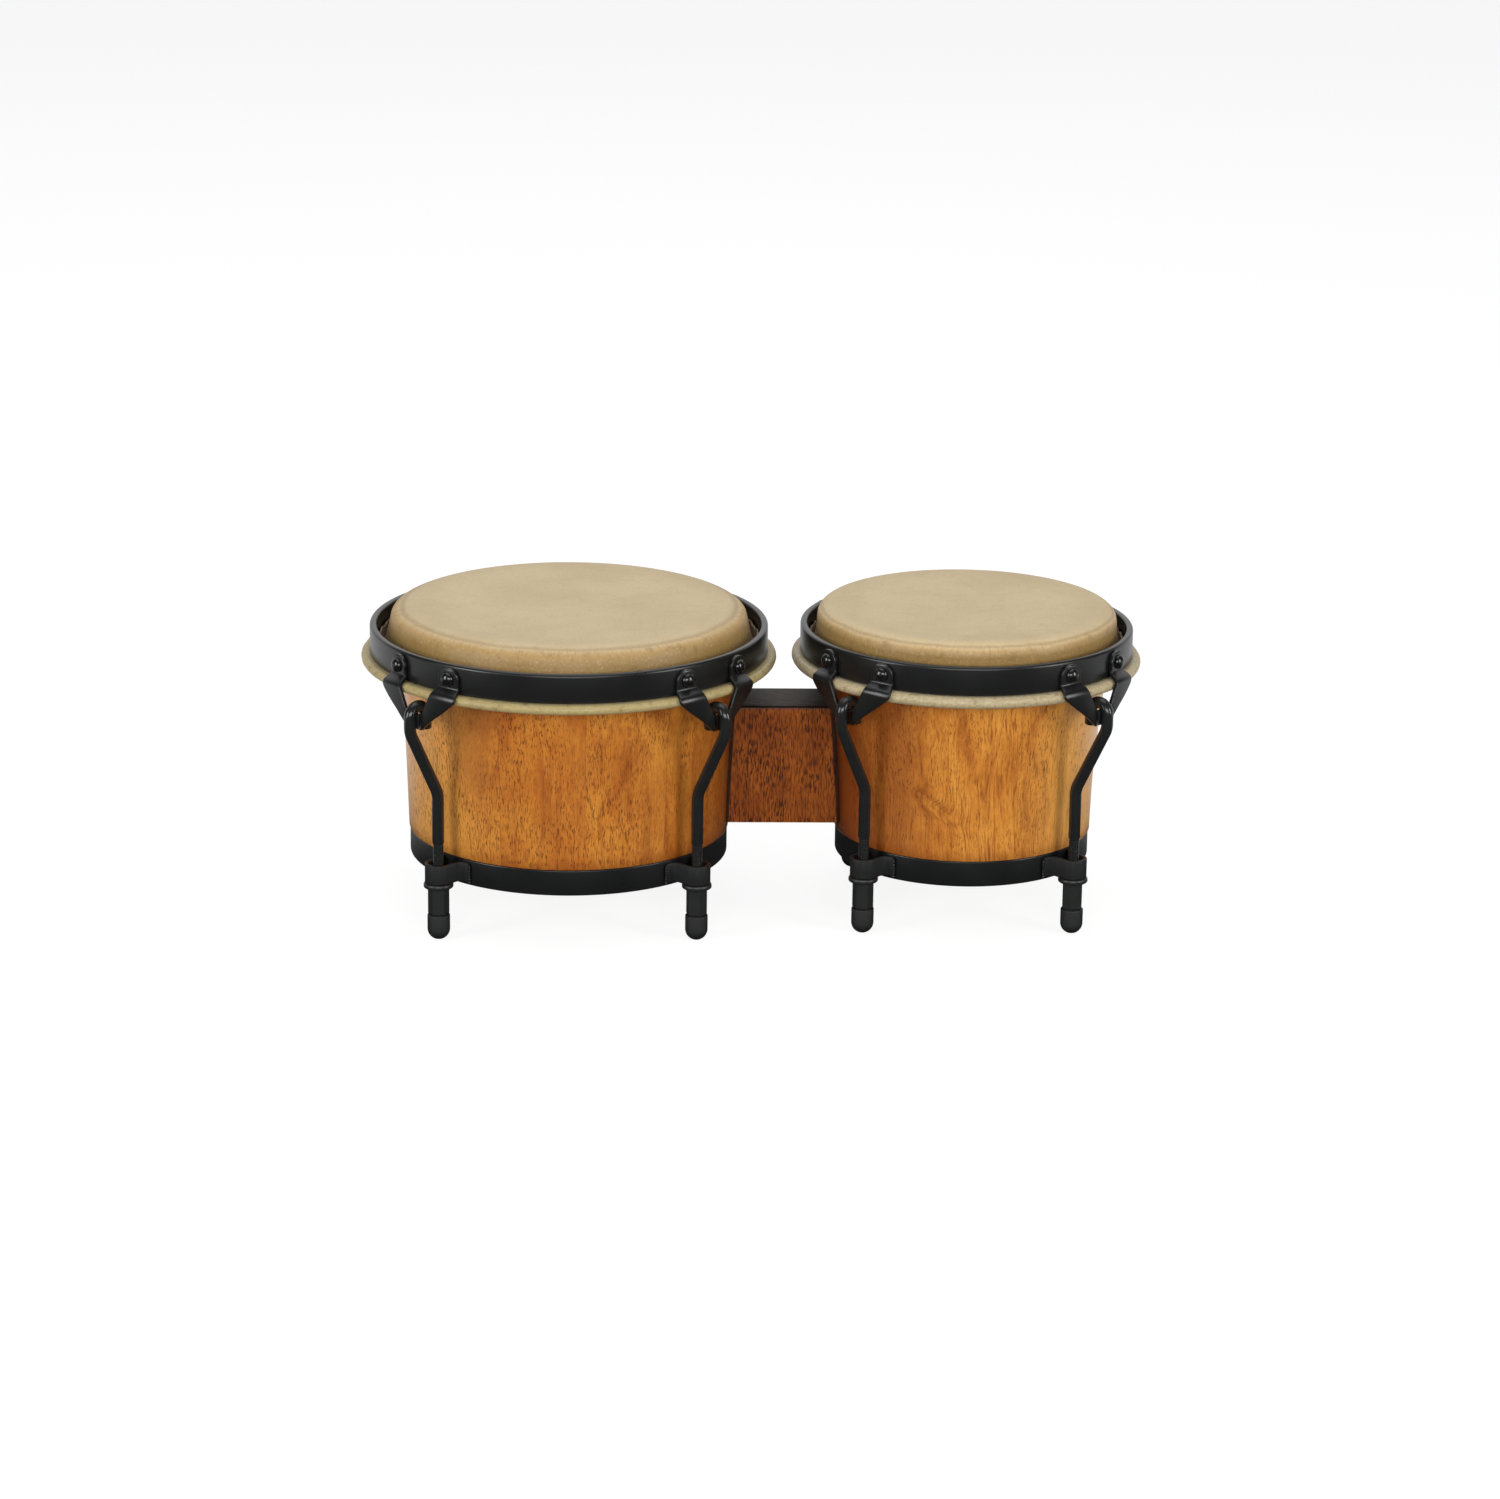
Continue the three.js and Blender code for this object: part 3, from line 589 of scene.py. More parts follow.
# ------------------------------------------------------------------ other materials
def block_wood():
    """Porous brown wood with dark end grain on top."""
    made, nodes = new_material("block_wood")
    point = nodes.coords()
    x, y, z = nodes.xyz(point)
    up = nodes.xyz(nodes.node("ShaderNodeNewGeometry").outputs["Normal"])[2]
    grain = nodes.noise(point, stretch=(420, 420, 34), rough=0.6)
    blotch = nodes.noise(point, stretch=(60, 60, 30), rough=0.55, warp=0.5)
    pores = nodes.noise(point, stretch=(1300, 1300, 190), detail=2.0, rough=0.55)
    porous = nodes.noise(point, stretch=(55, 55, 38), detail=2.0)
    pores = pores.rise(lo=0.45, hi=0.60) * porous.rise(lo=0.36, hi=0.60).mul_add(0.45, 0.55)
    fine = nodes.noise(point, stretch=(1500, 1500, 70), detail=2.0, rough=0.6)
    colour = nodes.mix(blotch.rise(lo=0.3, hi=0.7), srgb(181, 96, 24), srgb(157, 77, 18))
    colour = nodes.layers(colour, (
        (grain, 0.4, 0.75, 0.5, srgb(116, 53, 16)),
        (fine, 0.48, 0.70, 0.45, srgb(84, 36, 11))))
    colour = nodes.mix(pores * 0.90, colour, srgb(46, 20, 7))
    # the top is darker end grain with fine slanting lines
    slanting = x * 0.62 + y * 1.0
    lines = nodes.noise(nodes.combine(slanting * 900.0, (x - y) * 30.0, 0.0), rough=0.6)
    end_grain = nodes.mix(lines.rise(lo=0.35, hi=0.7), srgb(72, 58, 47), srgb(30, 23, 19))
    top = up.rise(lo=0.35, hi=0.7)
    colour = nodes.mix(top, colour, end_grain)
    top_edge = z.rise(lo=0.1240, hi=0.1256) * (1.0 - up.rise(lo=0.90, hi=0.99))
    colour = nodes.mix(top_edge * 0.85, colour, srgb(34, 19, 12))
    # A thin dark line of stain and shadow where each end meets its shell.
    # Columns: drum, its shell's radius at z = 0 (mm), growth of that radius (mm per m).
    for drum, radius, slope in ((DRUMS["large"], 93.2, 46.0), (DRUMS["small"], 73.4, 67.0)):
        dx = x * 1000.0 - drum.centre_x
        dy = y * 1000.0
        off_shell = (dx * dx + dy * dy).op("SQRT") - z.mul_add(slope, radius)
        colour = nodes.layers(colour, ((off_shell, 2.3, 1.2, 0.9, srgb(22, 11, 6)),))
    height = grain * 0.3 - pores * 0.9
    nodes.surface({
        "Base Color": colour, "Roughness": grain.mul_add(0.2, 0.36),
        "Specular IOR Level": top.mul_add(-0.12, 0.18),
        "Coat Weight": top.mul_add(-0.11, 0.12), "Coat Roughness": 0.28,
        "Normal": nodes.bump(height, strength=0.22, distance=0.0002)})
    return made


def hide(drum, bead, bead_dark, fibrous, turn, ramp):
    """Animal skin: matt tan playing face, painted shade along the shoulder, golden collar, pale
    wrapped bead with painted shade underneath.

    turn: how far in from head_r the face turns down (mm); ramp: width of the colour changes."""
    face, face2, face_dark = srgb(211, 192, 152), srgb(203, 182, 140), srgb(172, 147, 104)
    collar_top, collar_mid = srgb(200, 173, 128), srgb(176, 145, 92)
    collar_low, brown = srgb(148, 117, 62), srgb(110, 80, 38)
    made, nodes = new_material(f"hide_{drum.size}")
    point = nodes.coords()
    x, y, z = nodes.xyz(point)
    uv = nodes.node("ShaderNodeUVMap", uv_map="Along")
    u, v, _ = nodes.xyz(uv.outputs["UV"])
    out = v * 1000.0                            # mm from the middle of the head
    head_r = drum.head_r
    cloud = nodes.noise(point, scale=22.0, rough=0.55, warp=0.4)
    cloud2 = nodes.noise(point, scale=110.0, detail=5.0, rough=0.7, warp=0.2)
    speck = nodes.noise(point, scale=620.0, detail=4.0, rough=0.7)
    # the outer part of the face is a little darker, then a brown line of painted shade where it
    # turns down
    top = nodes.mix(cloud.rise(lo=0.30, hi=0.72), face, face2)
    top = nodes.layers(top, (
        (cloud2, 0.48, 0.78, 0.22, face_dark),
        (speck, 0.46, 0.70, 0.34, face_dark),
        (out, head_r - 34.0, head_r - 10.0, 0.20, face_dark)))
    wander = (nodes.noise(point, scale=34.0, detail=4.0, rough=0.65) - 0.5) * 4.0
    ragged = out + wander
    fibre = nodes.noise(nodes.combine(u * 520.0, v * 170.0, 0.0), detail=4.0, rough=0.7)
    fold = head_r - turn
    # painted shade along the shoulder's bend, broken up by the fibre
    shoulder = (ragged.rise(fold - 4.0 * ramp, fold - 0.4)
                * (1.0 - ragged.rise(fold, fold + 2.6 * ramp)))
    colour = nodes.mix(shoulder * fibre.mul_add(0.5, 0.12), top, srgb(126, 92, 54))
    collar = nodes.mix(ragged.rise(fold + 1.0, fold + 5.5 * ramp), collar_top, collar_mid)
    collar = nodes.mix(ragged.rise(fold + 4.0 * ramp, fold + 12.0 * ramp), collar, collar_low)
    patches = nodes.noise(point, scale=150.0, detail=4.0, rough=0.65)
    collar = nodes.layers(collar, (
        (fibre, 0.44, 0.70, 0.50, collar_low),
        (patches, 0.50, 0.74, 0.40, brown),
        (speck, 0.48, 0.30, 0.30, face)))
    colour = nodes.mix(ragged.rise(fold - 0.5, fold + 2.5 * ramp), colour, collar)
    wrapped = out.rise(head_r + 20.0, head_r + 26.0)
    tufts = nodes.noise(nodes.combine(u * 420.0, v * 620.0, 3.0),
                        detail=4.0, rough=0.75, warp=0.6)
    spots = nodes.noise(point, scale=150.0, detail=4.0, rough=0.7)
    # fibres and spots on the wrapped bead, and painted shade on its underside
    edge = nodes.layers(bead, (
        (tufts, 0.36, 0.64, 0.35 + 0.25 * fibrous, bead_dark),
        (spots, 0.54, 0.70, 0.55, brown),
        (z, 0.1520, 0.1490, 0.30, brown)))
    colour = nodes.mix(wrapped, colour, edge)
    # the tucked-in end is brown and frayed
    radius = ((x - drum.centre_x * MM) ** 2.0 + y ** 2.0).op("SQRT") * 1000.0
    inward = drum.tail_r - head_r
    tuck = z.rise(lo=0.1535, hi=0.1550) * (
        radius.rise(head_r + 0.70 * inward, head_r + 0.85 * inward)
        * radius.rise(drum.rim_r - 3.2, drum.rim_r - 4.2))
    frayed = nodes.mix(tufts.rise(lo=0.4, hi=0.62), srgb(112, 78, 38), srgb(62, 40, 20))
    colour = nodes.mix(tuck * 0.9, colour, frayed)
    matt = nodes.mix(out.rise(head_r - 4.0, head_r + 4.0), (0.62,) * 3, (0.44,) * 3)
    matt = Wire(nodes, nodes.node("ShaderNodeRGBToBW", matt).outputs[0])
    height = cloud2 * 0.5 + (speck * 0.25 + fibre * 0.35)
    height = height + tufts * (wrapped * fibrous)
    nodes.surface({
        "Base Color": colour, "Roughness": cloud2.mul_add(0.14, matt - 0.05),
        "Subsurface Weight": 0.06, "Subsurface Radius": (0.0012, 0.0008, 0.0004),
        "Sheen Weight": 0.06, "Normal": nodes.bump(height, strength=0.30, distance=0.0004)})
    return made


def black_steel(name, rough, lift=1.0, threaded=False, spec=0.48, bump=0.07):
    """Black paint. lift brightens it; threaded dulls the rods' threaded foot."""
    made, nodes = new_material(name)
    point = nodes.coords()
    orange_peel = nodes.noise(point, scale=1500.0, detail=2.0)
    fine = nodes.noise(point, scale=5200.0, detail=2.0)
    cloud = nodes.noise(point, scale=60.0, rough=0.6)
    height = orange_peel * 0.6 + fine * 0.25
    nodes.surface({
        "Base Color": nodes.mix(cloud, (0.0060 * lift, 0.0064 * lift, 0.0064 * lift),
                                (0.0092 * lift, 0.0097 * lift, 0.0098 * lift)),
        "Roughness": cloud.mul_add(0.08, rough), "Specular IOR Level": spec,
        "Normal": nodes.bump(height, strength=bump, distance=0.0002)})
    if threaded:
        # oil and grime sit in the thread and take its shine
        z = nodes.xyz(point)[2]
        foot = z.rise((THREAD_TOP + 0.2) * MM, (THREAD_TOP - 0.6) * MM)
        nodes.surface({"Specular IOR Level": foot.mul_add(-0.33, 0.48)})
    return made


def rubber():
    made, nodes = new_material("rubber")
    point = nodes.coords()
    fine = nodes.noise(point, scale=2600.0, rough=0.6)
    cloud = nodes.noise(point, scale=220.0, rough=0.6)
    dust = nodes.noise(point, scale=520.0, detail=4.0, rough=0.7)
    colour = nodes.mix(cloud, (0.0065, 0.0070, 0.0076), (0.0110, 0.0116, 0.0124))
    nodes.surface({
        "Base Color": nodes.layers(colour, ((dust, 0.58, 0.75, 0.18, (0.040, 0.040, 0.039)),)),
        "Roughness": fine.mul_add(0.15, 0.55),
        "Normal": nodes.bump(fine, strength=0.22, distance=0.0002)})
    return made


def plated(name, colour, colour2, rough):
    """Bright metal, finely brushed along X."""
    made, nodes = new_material(name)
    point = nodes.coords()
    brush = nodes.noise(point, stretch=(260, 2600, 2600), detail=2.0, rough=0.6)
    cloud = nodes.noise(point, scale=160.0, detail=4.0, rough=0.6)
    nodes.surface({
        "Base Color": nodes.mix(cloud, colour, colour2), "Metallic": 1.0,
        "Roughness": brush.mul_add(0.18, rough),
        "Normal": nodes.bump(brush, strength=0.08, distance=0.0001)})
    return made


# A finish is a slot and the material in it.
BLOCK = ("block_wood", block_wood())
HIDES = {
    "large": ("hide", hide(DRUMS["large"], bead=srgb(177, 161, 110),
                           bead_dark=srgb(140, 117, 68), fibrous=0.4, turn=7.2, ramp=1.0)),
    "small": ("hide", hide(DRUMS["small"], bead=srgb(190, 176, 140),
                           bead_dark=srgb(146, 125, 86), fibrous=0.9, turn=1.8, ramp=0.6)),
}
BLACK = ("black_steel", black_steel("black_steel", rough=0.25))
RODS = ("black_steel", black_steel("black_rod", rough=0.15, lift=1.8, threaded=True, bump=0.03))
NUTS = ("black_steel", black_steel("black_nut", rough=0.33, lift=2.0))
RIVETS = ("black_steel", black_steel("black_rivet", rough=0.17, lift=0.7, spec=0.60, bump=0.012))
LOOPS = ("black_steel", black_steel("black_loop", rough=0.40, lift=1.9, spec=0.26))
RUBBER = ("rubber", rubber())
ZINC = ("plated_steel", plated("plated_steel", colour=(0.50, 0.51, 0.52),
                               colour2=(0.64, 0.64, 0.63), rough=0.28))
BRASS = plated("brass", colour=(0.60, 0.44, 0.17), colour2=(0.72, 0.55, 0.24), rough=0.26)


# ------------------------------------------------------------------ shells
def cut_away(ob, cutters):
    """Cuts the cutters out of an object's mesh and removes them."""
    for tool in cutters:
        modifier = ob.modifiers.new("cut", "BOOLEAN")
        modifier.operation = "DIFFERENCE"
        modifier.solver = "EXACT"
        modifier.object = tool
    graph = bpy.context.evaluated_depsgraph_get()
    mesh = bpy.data.meshes.new_from_object(
        ob.evaluated_get(graph), preserve_all_data_layers=True, depsgraph=graph)
    ob.modifiers.clear()
    old = ob.data
    ob.data = mesh
    mesh.name = old.name
    bpy.data.meshes.remove(old)
    for tool in cutters:
        tool_mesh = tool.data
        bpy.data.objects.remove(tool)
        bpy.data.meshes.remove(tool_mesh)


def crown_line(drum, depth):
    """The shoulder's line from the flat face outwards, moved into the skin by depth."""
    line = chaikin([(drum.head_r - back, HEAD_TOP - down) for back, down in drum.crown])
    along = tangents(line)
    along[0] = (1, 0)
    return line - normals(along) * depth


def build_shell(drum):
    top = HEAD_TOP - SKIN - SEAT_GAP
    edge_r = drum.edge_r
    foot_r = drum.ring_r - RING_T - 0.3         # the rebate inside the foot ring
    foot_z = SHELL_Z[0]
    outer = [(foot_r - 0.8, 33.3), (foot_r, 34.1), (foot_r, foot_z),
             (smooth_r(drum, foot_z) - 0.5, foot_z), (smooth_r(drum, 49.0), 49.0)]
    outer += [(smooth_r(drum, z), z) for z in np.linspace(54, 164, 26)]
    edge = [(edge_r - 0.1, 169.0), (edge_r, 171.8)]
    edge += [tuple(p) for p in crown_line(drum, SKIN + SEAT_GAP)[::-1]]
    crest = edge[-1][0]
    edge += [(crest - 1.2, top - 0.5), (crest - 2.4, top - 1.9), (edge_r - WALL + 0.3, 176.0)]
    inner = [(min(smooth_r(drum, z), edge_r) - WALL, z) for z in np.linspace(166, 60, 16)]
    base = min(smooth_r(drum, 50), edge_r) - WALL - 1.2
    inner += [(base + 0.4, 38.3), (base + 0.2, 34.3), (base + 1.2, 33.3)]
    verts, faces, _ = lathe(outer + edge + inner, 216, closed=True)
    ob = make(f"wood_shell_{drum.size}", turned(verts, 0, drum.centre), faces, "root",
              SHELL_WOODS[drum.size], f"shell_{drum.size}")
    cutters = []
    for z in BOLT_Z.values():
        # name, radius, start, end from the drum's axis, segments
        for name, r, start, end, seg in (("hole", 4.3, 20, 130, 32),
                                         ("seat", 11, 40, bolt_seat(drum, z), 48)):
            verts, faces, _ = lathe([(0, start), (r, start), (r, end), (0, end)], seg)
            verts = along_x(verts, drum.side, z, drum.centre_x)
            cutters.append(new_object(name, verts, faces))
    cut_away(ob, cutters)
    ob.data.set_sharp_from_angle(angle=math.radians(40))


# ------------------------------------------------------------------ heads
DISC_ROWS = 14


def head_midline(drum):
    """The hide's middle line from the centre out, round the bead and up behind the rim.

    Also gives the number of points in its tucked end."""
    half_w = drum.bead_w - SKIN / 2
    half_h = drum.bead_h - SKIN / 2
    bead_r, bead_z, tail_r = drum.bead_r, drum.bead_z, drum.tail_r
    crown = crown_line(drum, SKIN / 2)
    flare = min(bead_r - half_w, drum.rim_r - RIM_T - 1.0)
    collar = chaikin([tuple(crown[-1]), (drum.head_r - 0.1, 167.5),
                      (drum.head_r + 0.35 * (flare - drum.head_r), 159.0),
                      (bead_r - half_w * 0.95, bead_z - 0.4)], 3)
    bead = []
    for degrees in range(205, 462, 14):
        angle = math.radians(degrees)
        bead.append((bead_r + half_w * math.cos(angle), bead_z + half_h * math.sin(angle)))
    bead_top = bead_z + half_h
    tail = chaikin([(bead_r - 0.2, bead_top), (tail_r + 0.9, bead_top - 0.35),
                    (tail_r - 0.1, bead_top + 1.8), (tail_r - 0.25, 161.0),
                    (tail_r - 0.2, 165.4)], 3)[4:]
    disc = [(crown[0][0] * k / DISC_ROWS, HEAD_TOP - SKIN / 2) for k in range(DISC_ROWS)]
    return np.vstack([disc, crown[:-1], collar, bead, tail]), len(tail)


def build_head(drum):
    line, tail_count = head_midline(drum)
    n = len(line)
    along = tangents(line)
    along[: DISC_ROWS + 1] = (1, 0)
    thick = np.full(n, SKIN)
    thick[-3:] = [SKIN * 0.9, SKIN * 0.75, SKIN * 0.45]
    half = normals(along) * thick[:, None] / 2
    outer, inner = line + half, line - half
    outer[0, 0] = inner[0, 0] = 0.0
    profile = [tuple(p) for p in outer] + [tuple(p) for p in inner[::-1]]
    place = list(range(n)) + list(range(n))[::-1]
    wrap_start = int(np.argmax(line[:, 1] < drum.bead_z))
    seed = drum.seed

    def move(i, angle, r, z):
        k = place[i]
        ca, sa = math.cos(angle), math.sin(angle)
        if k < DISC_ROWS + 6:
            # the playing face is not perfectly even
            return r, z + 0.10 * uneven(r * ca * 0.02 + seed, r * sa * 0.02)
        if k >= n - tail_count:
            # the tucked end leans and is ragged
            f = (k - (n - tail_count)) / (tail_count - 1)
            rag = (1.6 * uneven(9 * ca + seed, 9 * sa) + 1.5 * uneven(34 * ca, 34 * sa, seed)
                   + 1.1 * uneven(95 * ca, 95 * sa, seed))
            lean = (0.35 * uneven(7 * ca, 7 * sa, seed + 4)
                    + 0.12 * uneven(40 * ca, 40 * sa, seed))
            return r + f * lean, z + f * f * (rag - 0.4)
        if k >= wrap_start:
            swell = 0.16 * uneven(30 * ca, 30 * sa, seed) + 0.07 * uneven(110 * ca, 110 * sa, z)
            return r + swell, z + swell * 0.4
        swell = (0.10 * uneven(26 * ca, 26 * sa, z * 0.05)
                 + 0.05 * uneven(120 * ca, 120 * sa, z * 0.1))
        return r + swell, z

    verts, faces, uvs = lathe(profile, 360, move)
    ob = make(f"skin_head_{drum.size}", turned(verts, 0, drum.centre), faces, None,
              HIDES[drum.size], f"head_{drum.size}", smooth=60, uvs=uvs)
    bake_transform(ob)


def build_hoop(drum):
    """The plated wire hoop inside the wrapped edge, with its butt weld at the back."""
    wire_r = drum.bead_h - SKIN - 0.3
    bead_r, bead_z = drum.bead_r, drum.bead_z
    profile = []
    for k in range(20):
        angle = 2 * math.pi * k / 20
        profile.append((bead_r + wire_r * math.cos(angle), bead_z + wire_r * math.sin(angle)))

    def move(i, angle, r, z):
        from_back = (angle - math.pi / 2 + math.pi) % (2 * math.pi) - math.pi
        swell = 1.0 + 0.08 * math.exp(-(from_back / 0.012) ** 2)
        return bead_r + (r - bead_r) * swell, bead_z + (z - bead_z) * swell

    verts, faces, _ = lathe(profile, 288, move, closed=True)
    make(f"wire_hoop_{drum.size}", turned(verts, 0, drum.centre), faces,
         f"tension_{drum.size}", ZINC, f"flesh_hoop_{drum.size}", smooth=60)


# ------------------------------------------------------------------ rim and rivets
def build_band(drum, name, stands_for, body, outer_r, thick, heights, radii, steps, seg):
    """A flat steel band round the drum, with rounded edges."""
    z0, z1 = heights
    inner_r = outer_r - thick
    profile = rounded([(inner_r, z0), (outer_r, z0), (outer_r, z1), (inner_r, z1)],
                      radii, steps)
    verts, faces, _ = lathe(profile, seg, closed=True)
    make(f"{name}_{drum.size}", turned(verts, 0, drum.centre), faces, body, BLACK,
         f"{stands_for}_{drum.size}", smooth=30)


def build_rim(drum):
    """The tension rim, and two domed rivets for each bracket."""
    body = f"tension_{drum.size}"
    build_band(drum, "steel_rim", "rim", body, drum.rim_r, RIM_T, RIM_Z,
               radii=[0.5, 0.7, 1.7, 1.5], steps=6, seg=288)
    base = BRACKET_GAP + BRACKET_T + 0.05
    profile = [(0.0, 0.6), (2.6, 0.6), (2.6, base), (4.0, base), (4.25, base + 0.2)]
    for k in range(11):
        angle = math.radians(8 + 82 * k / 11)
        profile.append((4.25 * math.cos(angle), base + 0.2 + 2.95 * math.sin(angle)))
    profile.append((0.0, base + 3.15))
    verts, faces, _ = lathe(profile, 40)
    verts = along_x(verts, 1, TAB_Z, drum.rim_r)
    aside = math.degrees(TAB_SIDE / (drum.rim_r + 4))
    for lug, degrees in LUGS.items():
        for tag, side in (("a", -1), ("b", 1)):
            make(f"rivet_{drum.size}_{lug}_{tag}",
                 turned(verts, degrees + side * aside, drum.centre), faces, body, RIVETS)


# ------------------------------------------------------------------ ear brackets
TAB_OUT = BRACKET_GAP + BRACKET_T / 2

# Half of the bracket, from a tab to the middle of the lug. Each row holds the strap's
# upper, then lower edge: distance round the rim, height, distance out from the rim.
BRACKET = [
    ((14.2, 161.6, TAB_OUT), (28.65, 161.6, TAB_OUT)),
    ((13.9, 159.2, TAB_OUT), (28.8, 158.9, TAB_OUT)),
    ((13.4, 157.6, 3.3), (29.1, 157.1, 3.3)),
    ((12.7, 155.9, 6.2), (29.4, 155.2, 6.2)),
    ((12.0, 154.4, 7.0), (29.5, 153.6, 7.0)),
    ((11.2, 152.9, 7.05), (28.6, 151.6, 7.05)),
    ((9.7, 149.6, 6.95), (22.0, 146.0, 6.95)),
    ((8.2, 146.5, 6.9), (15.2, 141.0, 6.9)),
    ((6.9, 143.9, 6.9), (9.8, 136.2, 6.9)),
    ((5.6, 142.3, 6.7), (6.6, 133.2, 6.7)),
    ((4.6, 141.3, 6.0), (4.9, 132.0, 6.0)),
    ((3.3, 140.6, 4.75), (3.4, 131.4, 4.75)),
    ((1.7, 140.3, 3.7), (1.7, 131.2, 3.7)),
    ((0.0, 140.3, 3.4), (0.0, 131.1, 3.4)),
]


def bracket_mesh(rim_r):
    tab = []
    for degrees in range(80, -1, -10):
        angle = math.radians(degrees)
        half, z = TAB_HALF * math.cos(angle), TAB_Z + 6.6 * math.sin(angle)
        tab.append(((TAB_SIDE - half, z, TAB_OUT), (TAB_SIDE + half, z, TAB_OUT)))

    def whole_edge(which):
        """One edge of the strap, mirrored and bent round the rim."""
        smooth = chaikin([row[which] for row in [tab[-1]] + BRACKET], 3)
        edge = np.vstack([[row[which] for row in tab[:-1]], smooth])
        edge = np.vstack([edge, (edge * np.array([-1, 1, 1]))[-2::-1]])
        angle = edge[:, 0] / (rim_r + 4)
        out = rim_r + edge[:, 2]
        return np.stack([out * np.cos(angle), out * np.sin(angle), edge[:, 1]], 1)

    upper, lower = whole_edge(0), whole_edge(1)
    n = len(upper)
    rings = []
    for i in range(n):
        across = lower[i] - upper[i]
        width = np.linalg.norm(across)
        across /= width
        i0, i1 = max(i - 1, 0), min(i + 1, n - 1)
        along = (upper[i1] - upper[i0]) + (lower[i1] - lower[i0])
        along -= across * (along @ across)
        out = np.cross(across, along)
        out /= np.linalg.norm(out)
        if out @ np.array([upper[i][0], upper[i][1], 0]) < 0:
            out = -out
        middle = (upper[i] + lower[i]) / 2
        # the two rings at each end are thinner
        thick = BRACKET_T * {0: 0.72, 1: 0.90}.get(min(i, n - 1 - i), 1)
        section = rounded_box(width, thick, min(0.65, width * 0.45), 4)
        rings.append([tuple(middle + across * u + out * v) for u, v in section])
    return loft(rings)


# ------------------------------------------------------------------ tuning rods
def thread_r(z, angle):
    """Radius of the threaded foot, which runs out smoothly at both ends."""
    fade = (min(1.0, max(0.0, (z - ROD_BOTTOM) / 1.0))
            * min(1.0, max(0.0, (THREAD_TOP - z) / 0.8)))
    phase = (z / PITCH - angle / (2 * math.pi)) % 1.0
    ridge = min(1.0, max(0.0, (abs(phase * 2 - 1) - 0.12) / 0.72))
    r = THREAD_ROOT + (THREAD_CREST - THREAD_ROOT) * ridge * fade
    if z > THREAD_TOP - 0.8:
        r += (3.0 - THREAD_ROOT) * (1 - fade)
    return r


def rod_mesh(drum):
    """A threaded foot, a cranked shank and a hook over the bracket."""
    outer_x, inner_x = drum.rim_r + HOOK_OUT, drum.rim_r + HOOK_IN
    shank = [(drum.rod_r, THREAD_TOP + 0.9), (drum.rod_r, CRANK_LOW),
             (outer_x, CRANK_HIGH), (outer_x, HOOK_Z)]
    core = rounded(shank, [0, 15, 13, 0], 9)
    hook_r = (outer_x - inner_x) / 2
    for k in range(1, 19):
        angle = math.pi * k / 18
        core.append((inner_x + hook_r + hook_r * math.cos(angle),
                     HOOK_Z + hook_r * math.sin(angle)))
    core += [(inner_x, HOOK_Z - 2.5), (inner_x, HOOK_END + 0.8), (inner_x, HOOK_END)]
    radii = [ROD_R] * (len(core) - 1) + [ROD_R - 0.8]
    seg = 32
    angles = [2 * math.pi * k / seg for k in range(seg)]
    rings = []
    for z in np.arange(ROD_BOTTOM, THREAD_TOP + 0.01, PITCH / 8):
        ring = []
        for angle in angles:
            r = thread_r(z, angle)
            ring.append((drum.rod_r + r * math.cos(angle), r * math.sin(angle), z))
        rings.append(ring)
    along = tangents(np.array(core))
    along[0] = (0, 1)
    # each section's own X axis is square to the path, in the plane of the bend
    for (x, z), (tx, tz), r in zip(core, along, radii):
        rings.append([(x + r * math.cos(a) * tz, r * math.sin(a), z - r * math.cos(a) * tx)
                      for a in angles])
    return loft(rings)


# ------------------------------------------------------------------ nuts and tips
def flat_cos(angle):
    """A hexagon's half width across flats, divided by this, is its radius at an angle."""
    return math.cos((angle + math.pi / 6) % (math.pi / 3) - math.pi / 6)


def turned_rings(rows, seg, hex_r):
    """Rings from rows of (z, "c" circle or "h" hexagon, size). hex_r(angle, size): radius."""
    rings = []
    for z, kind, size in rows:
        ring = []
        for k in range(seg):
            angle = 2 * math.pi * k / seg
            r = size if kind == "c" else hex_r(angle, size)
            ring.append((r * math.cos(angle), r * math.sin(angle), z))
        rings.append(ring)
    return rings


def nut_mesh():
    """A hexagon nut with a flange on top and a round neck in the rubber tip."""
    half = NUT_FLATS / 2
    flange = NUT_TOP - 3.0
    rows = [
        (6.4, "c", 3.5), (6.4, "c", 4.6), (6.8, "c", 5.0), (TIP_TOP + 0.2, "c", 5.0),
        (TIP_TOP + 0.3, "h", 0.92), (TIP_TOP + 0.9, "h", 1.0),
        (flange - 2.2, "h", 1.0), (flange - 0.7, "h", 1.0),
        (flange - 0.25, "c", 7.1), (flange + 0.1, "c", 8.1), (flange + 0.45, "c", 8.55),
        (flange + 0.9, "c", 8.75), (NUT_TOP - 0.8, "c", 8.75), (NUT_TOP - 0.35, "c", 8.55),
        (NUT_TOP, "c", 8.1), (NUT_TOP, "c", 4.1), (NUT_TOP - 0.8, "c", 3.5)]
    blunt = half / math.cos(math.pi / 6) - 0.25
    rings = turned_rings(rows, 72, lambda a, size: min(half / flat_cos(a), blunt) * size)
    return loft(rings, close=True)


def tip_mesh():
    """A round-bottomed rubber cup."""
    profile = [(0.0, 0.0), (2.1, 0.0)]
    for k in range(1, 15):
        angle = math.radians(-71 + 71 * k / 14)
        profile.append((TIP_R * math.cos(angle), 6.29 + TIP_R * math.sin(angle)))
    cup = [(TIP_R, 6.3), (TIP_R, TIP_TOP), (5.3, TIP_TOP), (5.3, 5.2), (0.0, 5.2)]
    profile += rounded(cup, [0, 0.75, 0.35, 0.6, 0])[1:]
    return lathe(profile, 56)[:2]


